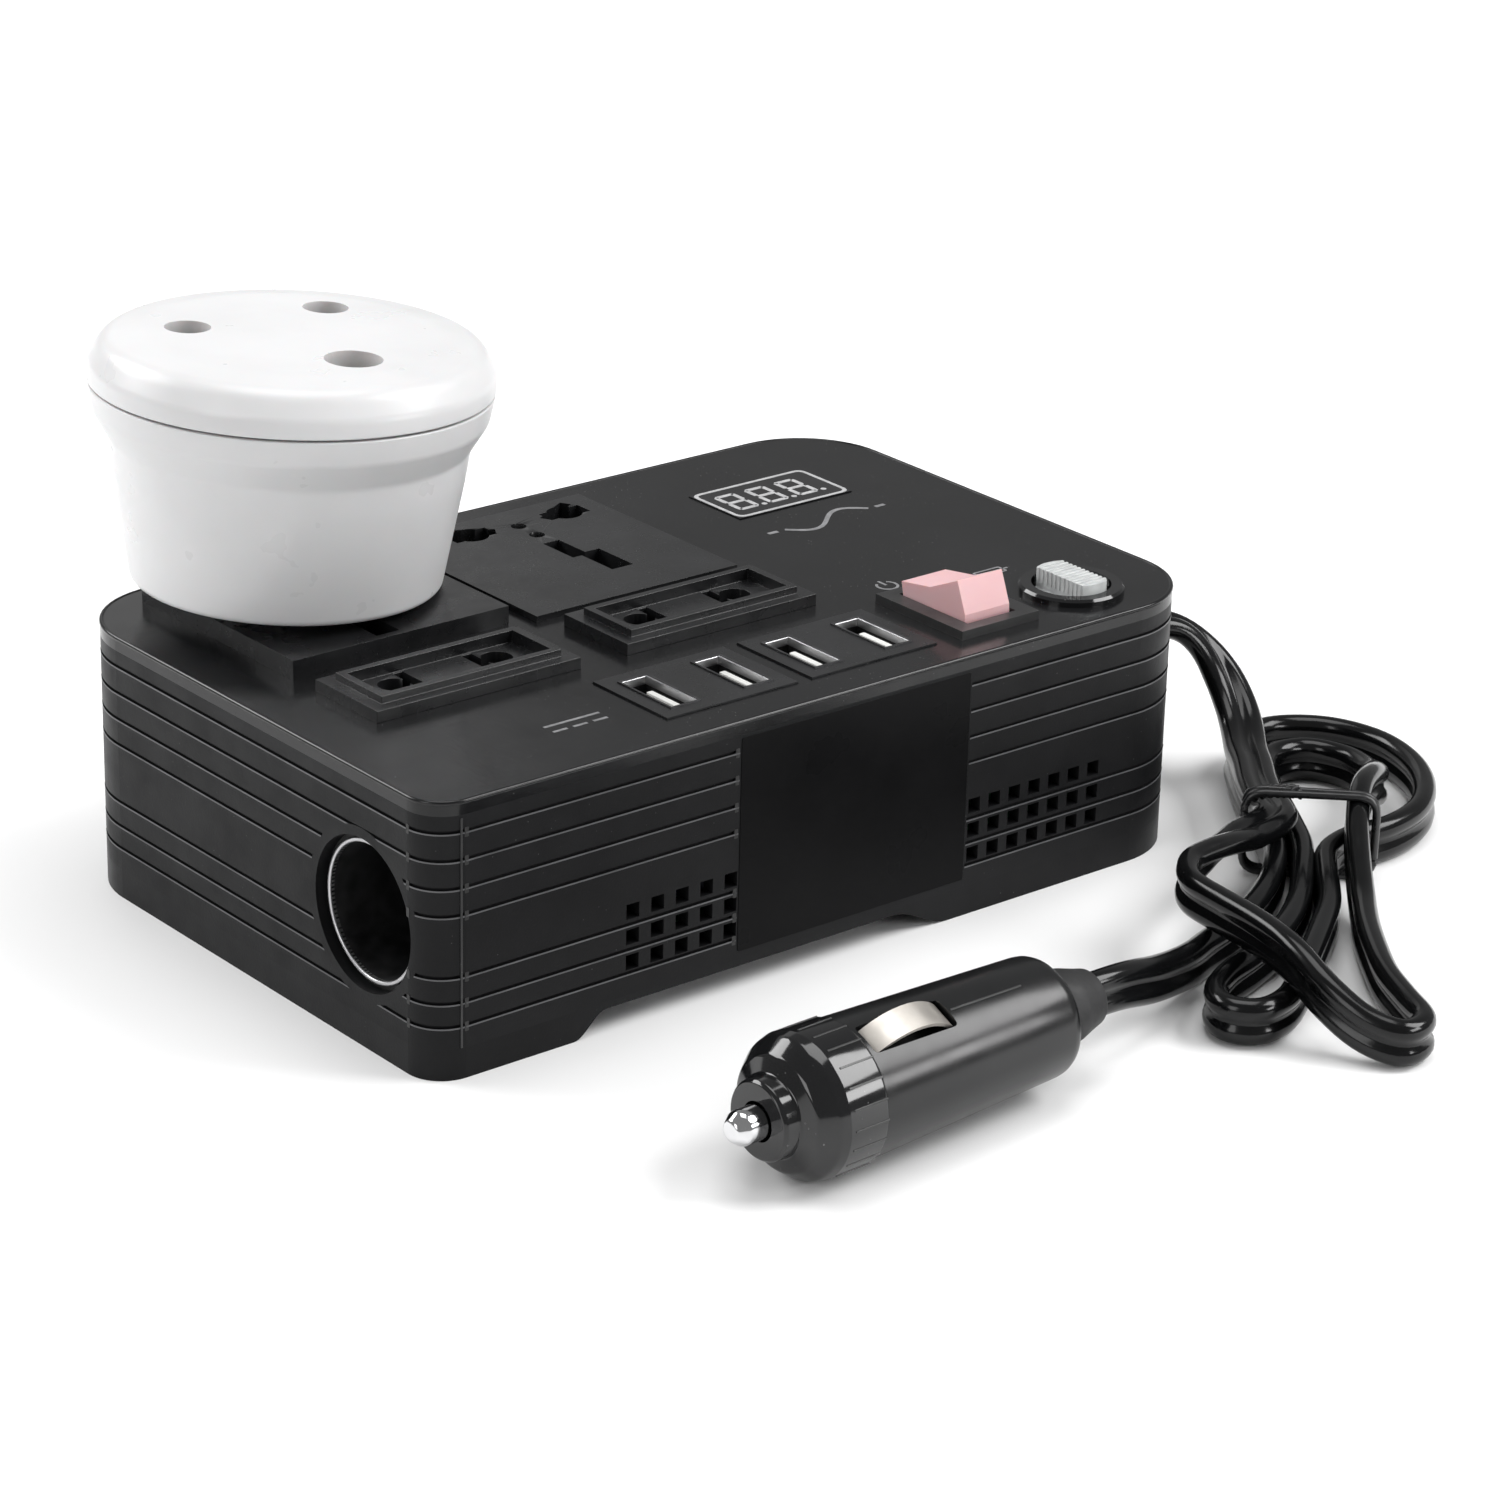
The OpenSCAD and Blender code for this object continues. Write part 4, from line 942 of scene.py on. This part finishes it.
def add_label_panel():
    """Plain film on the smooth field of the front, where a maker would print a name."""
    outline = rectangle(((LABEL_X[0] + LABEL_X[1]) / 2, sum(LABEL_Z) / 2),
                        (LABEL_X[1] - LABEL_X[0] - 0.6, LABEL_Z[1] - LABEL_Z[0]), 0.4)
    piece("label_film", prism(outline, *FILM), "case", LABEL, ON_FRONT, edge=0.05)


def add_groove_lips():
    """Painted highlight: light grey bands along the lower lips of the grooves, standing in for the
    light the lips catch all round the case.
    """
    bm = bmesh.new()
    for level in GROOVE_LEVELS:
        high = CASE_H * (1 - level) - GROOVE_H / 2
        band(*[case_outline(inset) for inset in LIP_INSET], high - LIP_H, high - LIP_GAP, bm)
    # these bands are a painted highlight along the grooves' lower lips
    lip_highlights = piece("groove_lip_painted_highlights", bm, "case", LIP_HIGHLIGHT)
    field = prism(rectangle((sum(LABEL_X) / 2, FRONT), (LABEL_X[1] - LABEL_X[0], 4)), 0, CASE_H)
    (y, z), radius = SOCKET_RING
    to_left_wall = Matrix.Translation((-CASE_L / 2, y, z)) @ LAID_DOWN
    ring = disc((0, 0), radius, -2, 2)
    carve(lip_highlights, [drawn_object("cutter", field), drawn_object("cutter", ring, to_left_wall)])
    shade(lip_highlights.data, DRAWN_SHARP)


def add_groove_ends():
    """Small dark ends of the grooves beside the near corner and the label, which are painted shade
    where the grooves stop, and the fine upright line where the near corner meets the front."""
    front = bmesh.new()
    left = bmesh.new()
    for level in GROOVE_LEVELS:
        z = CASE_H * (1 - level) - TICK_DROP
        for x in (NEAR_EDGE_X, LABEL_X[0] - 0.4):
            prism(rectangle((x, z), TICK, 0.15), -ROOT, TICK_RISE, front)
        prism(rectangle((-CORNER_EDGE_Y, z), TICK, 0.15), -ROOT, TICK_RISE, left)
    # painted shade: dark marks standing in for the shade at the ends of the grooves
    piece("groove_end_shade_front", front, "case", INNER, ON_FRONT)
    piece("groove_end_shade_left", left, "case", INNER, ON_LEFT)
    outline = rectangle((NEAR_EDGE_X - 0.9, CORNER_LINE_Z), CORNER_LINE, 0.1)
    line = prism(outline, -0.1, 0.09)
    piece("near_corner_line", line, "case", BEZEL, ON_FRONT, edge=0.05)


DISPLAY = (47.2, 26.4)
DISPLAY_SIZE = (24, 13.5)
DISPLAY_FACE = CASE_H + 0.2
DIGIT_H = 7.6
DIGIT_W = 4.4
DIGIT_STEP = 6.4
BAR = 0.85
POINT_R = 0.5
PRINT_T = 0.05
# sharp angle for flat printed shapes
PRINT_SHARP = 30


def digit_bars(x, y):
    """The seven bars of one digit, as (centre, size)."""
    across = (DIGIT_W - BAR, BAR)
    upright = (BAR, DIGIT_H / 2 - BAR)
    bars = [((x, y + k * (DIGIT_H - BAR) / 2), across) for k in (-1, 0, 1)]
    bars += [((x + i * (DIGIT_W - BAR) / 2, y + k * DIGIT_H / 4), upright)
             for i in (-1, 1) for k in (-1, 1)]
    return bars


def add_display():
    """Three grey digits with their points, and the printed line round the window."""
    bm = bmesh.new()
    for i in (-1, 0, 1):
        x = DISPLAY[0] - 0.9 + i * DIGIT_STEP
        for center, size in digit_bars(x, DISPLAY[1]):
            prism(rectangle(center, size, 0.28), DISPLAY_FACE, DISPLAY_FACE + PRINT_T, bm)
        disc((x + DIGIT_W / 2 + 1.0, DISPLAY[1] - DIGIT_H / 2 + 0.4), POINT_R, DISPLAY_FACE,
             DISPLAY_FACE + PRINT_T, 20, bm)
    piece("display_digits", bm, "case", SEGMENT, sharp_angle=PRINT_SHARP)
    outer = rectangle(DISPLAY, (DISPLAY_SIZE[0] - 0.2, DISPLAY_SIZE[1] - 0.2), 1.8)
    inner = rectangle(DISPLAY, (DISPLAY_SIZE[0] - 1.5, DISPLAY_SIZE[1] - 1.5), 1.3)
    line = band(outer, inner, DISPLAY_FACE, DISPLAY_FACE + PRINT_T)
    piece("display_line", line, "case", SEGMENT, sharp_angle=PRINT_SHARP)


def stroke(bm, points, width, closed=False):
    """Flat printed line of this width along points on the case's top."""
    points = [Vector(p) for p in points]
    sides = ([], [])
    last = len(points) - 1
    for i, point in enumerate(points):
        ahead = points[(i + 1) % len(points)] if closed else points[min(i + 1, last)]
        behind = points[i - 1] if closed else points[max(i - 1, 0)]
        along = (ahead - behind).normalized()
        across = Vector((-along.y, along.x)) * width / 2
        sides[0].append(point + across)
        sides[1].append(point - across)
    if closed:
        band(sides[0], sides[1], CASE_H, CASE_H + PRINT_T, bm)
    else:
        prism(sides[0] + sides[1][::-1], CASE_H, CASE_H + PRINT_T, bm)


SINE_SIGN = (47, 11.5)
SINE_HALF = 9
SINE_RISE = 2.6
SINE_STEPS = 24
SINE_DASH_X = 11.5
STANDBY_SIGN = (34.5, -18.3)
STANDBY_R = 1.7
FUSE_SIGN = (52, -23.2)
FUSE_SIGN_SIZE = (5.4, 2.0)
DC_SIGN = (-40.5, -34.2)
DC_DASH_STEP = 3.7
DC_DROP = 2.2
SINE_LINE, STANDBY_LINE, FUSE_LINE, DC_LINE = 0.8, 0.45, 0.35, 0.55


def dash(bm, center, half, width):
    """Short printed line along the case."""
    x, y = center
    stroke(bm, [(x - half, y), (x + half, y)], width)


def add_symbols():
    """General symbols in place of printed words: sine wave, standby, fuse and direct current."""
    bm = bmesh.new()
    x, y = SINE_SIGN
    times = [k / SINE_STEPS - 1 for k in range(2 * SINE_STEPS + 1)]
    wave = [(x + SINE_HALF * t, y + SINE_RISE * math.sin(math.pi * t)) for t in times]
    stroke(bm, wave, SINE_LINE)
    for side in (-1, 1):
        dash(bm, (x + side * SINE_DASH_X, y), 1, SINE_LINE)

    x, y = STANDBY_SIGN
    stroke(bm, arc(STANDBY_SIGN, STANDBY_R, 125, 415), STANDBY_LINE)
    stroke(bm, [(x, y + 0.2), (x, y + 2.3)], STANDBY_LINE)

    stroke(bm, rectangle(FUSE_SIGN, FUSE_SIGN_SIZE, 0.3), FUSE_LINE, closed=True)
    dash(bm, FUSE_SIGN, 3.8, FUSE_LINE)

    x, y = DC_SIGN
    dash(bm, DC_SIGN, 5.1, DC_LINE)
    for i in (-1, 0, 1):
        dash(bm, (x + i * DC_DASH_STEP, y - DC_DROP), 1.3, DC_LINE)
    piece("printed_symbols", bm, "case", INK, sharp_angle=PRINT_SHARP)


USB_BLOCKS_X = (-16.5, 11.3)
PORTS_Y = -33.4
PORT_OFFSET = 7
PORTS = [(x + side * PORT_OFFSET, PORTS_Y) for x in USB_BLOCKS_X for side in (-1, 1)]
PORT_LIP = ((0.75, 12.6), 0.42)
PORT_END_LIP = ((4.6, 0.5), 0.36)
PORT_LIP_ROOT = 1.0
TONGUE_SIZE = (1.2, 8.4)
CONTACT_SIZE = (0.12, 1.1)
CONTACT_STEP = 2.5


def add_port_trim():
    """Folded metal lip along two sides of each USB port, a bright strip on its tongue, and the
    tongue's four contacts."""
    for number, (x, y) in enumerate(PORTS, 1):
        root = CASE_H - PORT_LIP_ROOT
        size, rise = PORT_LIP
        lip = prism(rectangle((x + 2.6, y), size, 0.2), root, CASE_H + rise)
        size, rise = PORT_END_LIP
        prism(rectangle((x, y + 6.3), size, 0.2), root, CASE_H + rise, lip)
        piece(f"port_lip_{number}", lip, "case", STEEL, edge=0.12)
        tongue = prism(rectangle((x + 0.5, y - 1.2), TONGUE_SIZE, 0.3), CASE_H - 3, CASE_H - 0.7)
        piece(f"port_tongue_{number}", tongue, "case", TONGUE, edge=0.15)
        bm = bmesh.new()
        for i in (-1.5, -0.5, 0.5, 1.5):
            outline = rectangle((x - 0.2, y + i * CONTACT_STEP), CONTACT_SIZE)
            prism(outline, CASE_H - 9, CASE_H - 1.9, bm)
        piece(f"port_contacts_{number}", bm, "case", BRASS)


def add_sleeve_mouth():
    """Polished rolled edge at the mouth of the lighter socket's sleeve."""
    inner, outer = SLEEVE_R
    corners = [(inner, SLEEVE_LIP, 0), (inner, 0, 0.3), (outer, 0, 0.3), (outer, SLEEVE_LIP, 0),
               (inner, SLEEVE_LIP, 0)]
    edge = lathe(turned_line(corners, steps=4), 96)
    (y, z), _ = SOCKET_RING
    place = Matrix.Translation((SLEEVE_FRONT, y, z)) @ LAID_DOWN
    piece("sleeve_mouth", edge, "case", STEEL, place)


FUSE_POS = (57.3, -36.6, 0)
FUSE_RIB = (0.5, 5.5)
FUSE_RIB_STEP = 0.98
FUSE_RIB_Z = (CASE_H + 0.4, CASE_H + 2.85)


def add_fuse_ribs():
    """Fine ribs across the finger bar of the clear fuse cap."""
    bm = bmesh.new()
    for i in range(-5, 6):
        prism(rectangle((i * FUSE_RIB_STEP, 0), FUSE_RIB, 0.1), *FUSE_RIB_Z, bm)
    place = Matrix.Translation(FUSE_POS) @ Matrix.Rotation(math.radians(90), 4, "Z")
    piece("fuse_cap_ribs", bm, "cap", CLEAR, place, edge=0.12)


# CAD nodes that show as they are, by material.
NODE_SURFACES = (
    (TOP, ("top_cover",)),
    (SIDE, ("upper_shell", "lower_shell")),
    (BASE, ("bottom_cover",)),
    (SOCKET, ("usb_blocks",)),
    (STEEL, ("case_screws", "plug_spring")),
    (DARK_STEEL, ("usb_shells", "lighter_sleeve")),
    (BRASS, ("socket_contacts", "two_pin_contacts", "switch_terminals", "adapter_contacts",
             "lighter_contact")),
    (NICKEL, ("contact_upper", "contact_lower")),
    (CHROME, ("adapter_pins",)),
    (ALLOY, ("heat_sinks",)),
    (TONGUE, ("usb_tongues",)),
    (WINDOW, ("display_window",)),
    (ROCKER, ("power_rocker",)),
    (CLEAR, ("fuse_cap",)),
    (GLASS, ("fuse", "plug_fuse")),
    (NOSE, ("fuse_holder",)),
    (RUBBER, ("cord_bush",)),
    (INNER, ("display_module", "lighter_cup", "transistors", "fan_frame", "fan_rotor")),
    (BOARD, ("main_board",)),
    (FERRITE, ("transformer_core",)),
    (WINDING, ("transformer_winding", "choke")),
    (SLEEVE, ("capacitors",)),
)
SOCKET_EDGE = 0.22
FRAME_EDGE = 0.3


def dress_nodes():
    """Materials of the CAD nodes, and rounded edges for those whose edges catch the light."""
    for surface, nodes in NODE_SURFACES:
        for node in nodes:
            dress(node, surface)
    for node in ("socket_a", "socket_b", "two_pin_sockets"):
        dress(node, SOCKET, SOCKET_EDGE)
    dress("switch_frame", BEZEL, FRAME_EDGE)


# ---------- surroundings ----------

FLOOR_HALF = 6.0
ROOM_LIGHT = 0.29
MIDDLE = (0, 0, 0.02)
PLUG_MIDDLE = (-0.03, -0.105, 0.011)
TOP_LEFT = (-0.06, -0.045, 0.044)
# Soft boxes: name, place, what they face and size, all in metres, and watts. The two rim boxes
# stand where the case's top edges mirror them, the plug card where the plug does, and the
# sheen card where the left of the top does.
SOFT_LIGHTS = (
    ("front_rim_box", (0.70, -0.52, 0.80), MIDDLE, (0.6, 0.6), 11.0),
    ("back_rim_box", (-0.46, 0.86, 0.72), MIDDLE, (0.8, 0.5), 10.0),
    ("left_window", (-1.15, -0.25, 0.55), MIDDLE, (0.5, 0.7), 4.0),
    ("overhead", (0.1, 0.1, 1.5), MIDDLE, (0.9, 0.9), 10.0),
    ("plug_card", (0.147, -0.329, 0.103), PLUG_MIDDLE, (0.14, 0.06), 0.3),
    ("sheen_card", (0.506, 1.125, 0.58), TOP_LEFT, (0.47, 0.6), 0.35),
)


def add_floor():
    """Pale ground that takes the shadows."""
    floor = Surface("pale_floor", (0.86, 0.86, 0.86), 0.6)
    floor.mottle(300, 1.03).rough(60, 0.55, 0.65).bump(floor.noise(4), 0.01, 0.1)
    bm = bmesh.new()
    bmesh.ops.create_grid(bm, x_segments=4, y_segments=4, size=FLOOR_HALF)
    obj = new_object("floor", mesh_from(bm, "floor"))
    obj.data.materials.append(floor.material)


def add_soft_light(name, place, aim, size, watts):
    """Soft box that the camera itself doesn't see."""
    data = bpy.data.lights.new(name, "AREA")
    data.shape = "RECTANGLE"
    data.size, data.size_y = size
    data.energy = watts
    light = new_object(name, data)
    light.location = Vector(place)
    light.visible_camera = False
    light.rotation_euler = (Vector(aim) - light.location).to_track_quat("-Z", "Y").to_euler()


def add_lights():
    """A dim white room with soft boxes in it."""
    world = bpy.data.worlds.new("studio")
    world.use_nodes = True
    background = world.node_tree.nodes["Background"]
    background.inputs["Color"].default_value = (1, 1, 1, 1)
    background.inputs["Strength"].default_value = ROOM_LIGHT
    bpy.context.scene.world = world
    for light in SOFT_LIGHTS:
        add_soft_light(*light)
    bpy.context.scene.view_settings.view_transform = "Standard"


add_camera()
cord, cord_path, cord_length = add_cord()
tie = add_tie()
plug_pieces = add_plug()
add_adapter()
add_top_rim()
add_label_panel()
add_groove_lips()
add_groove_ends()
add_display()
add_symbols()
add_port_trim()
add_sleeve_mouth()
add_fuse_ribs()
dress_nodes()
add_floor()
add_lights()
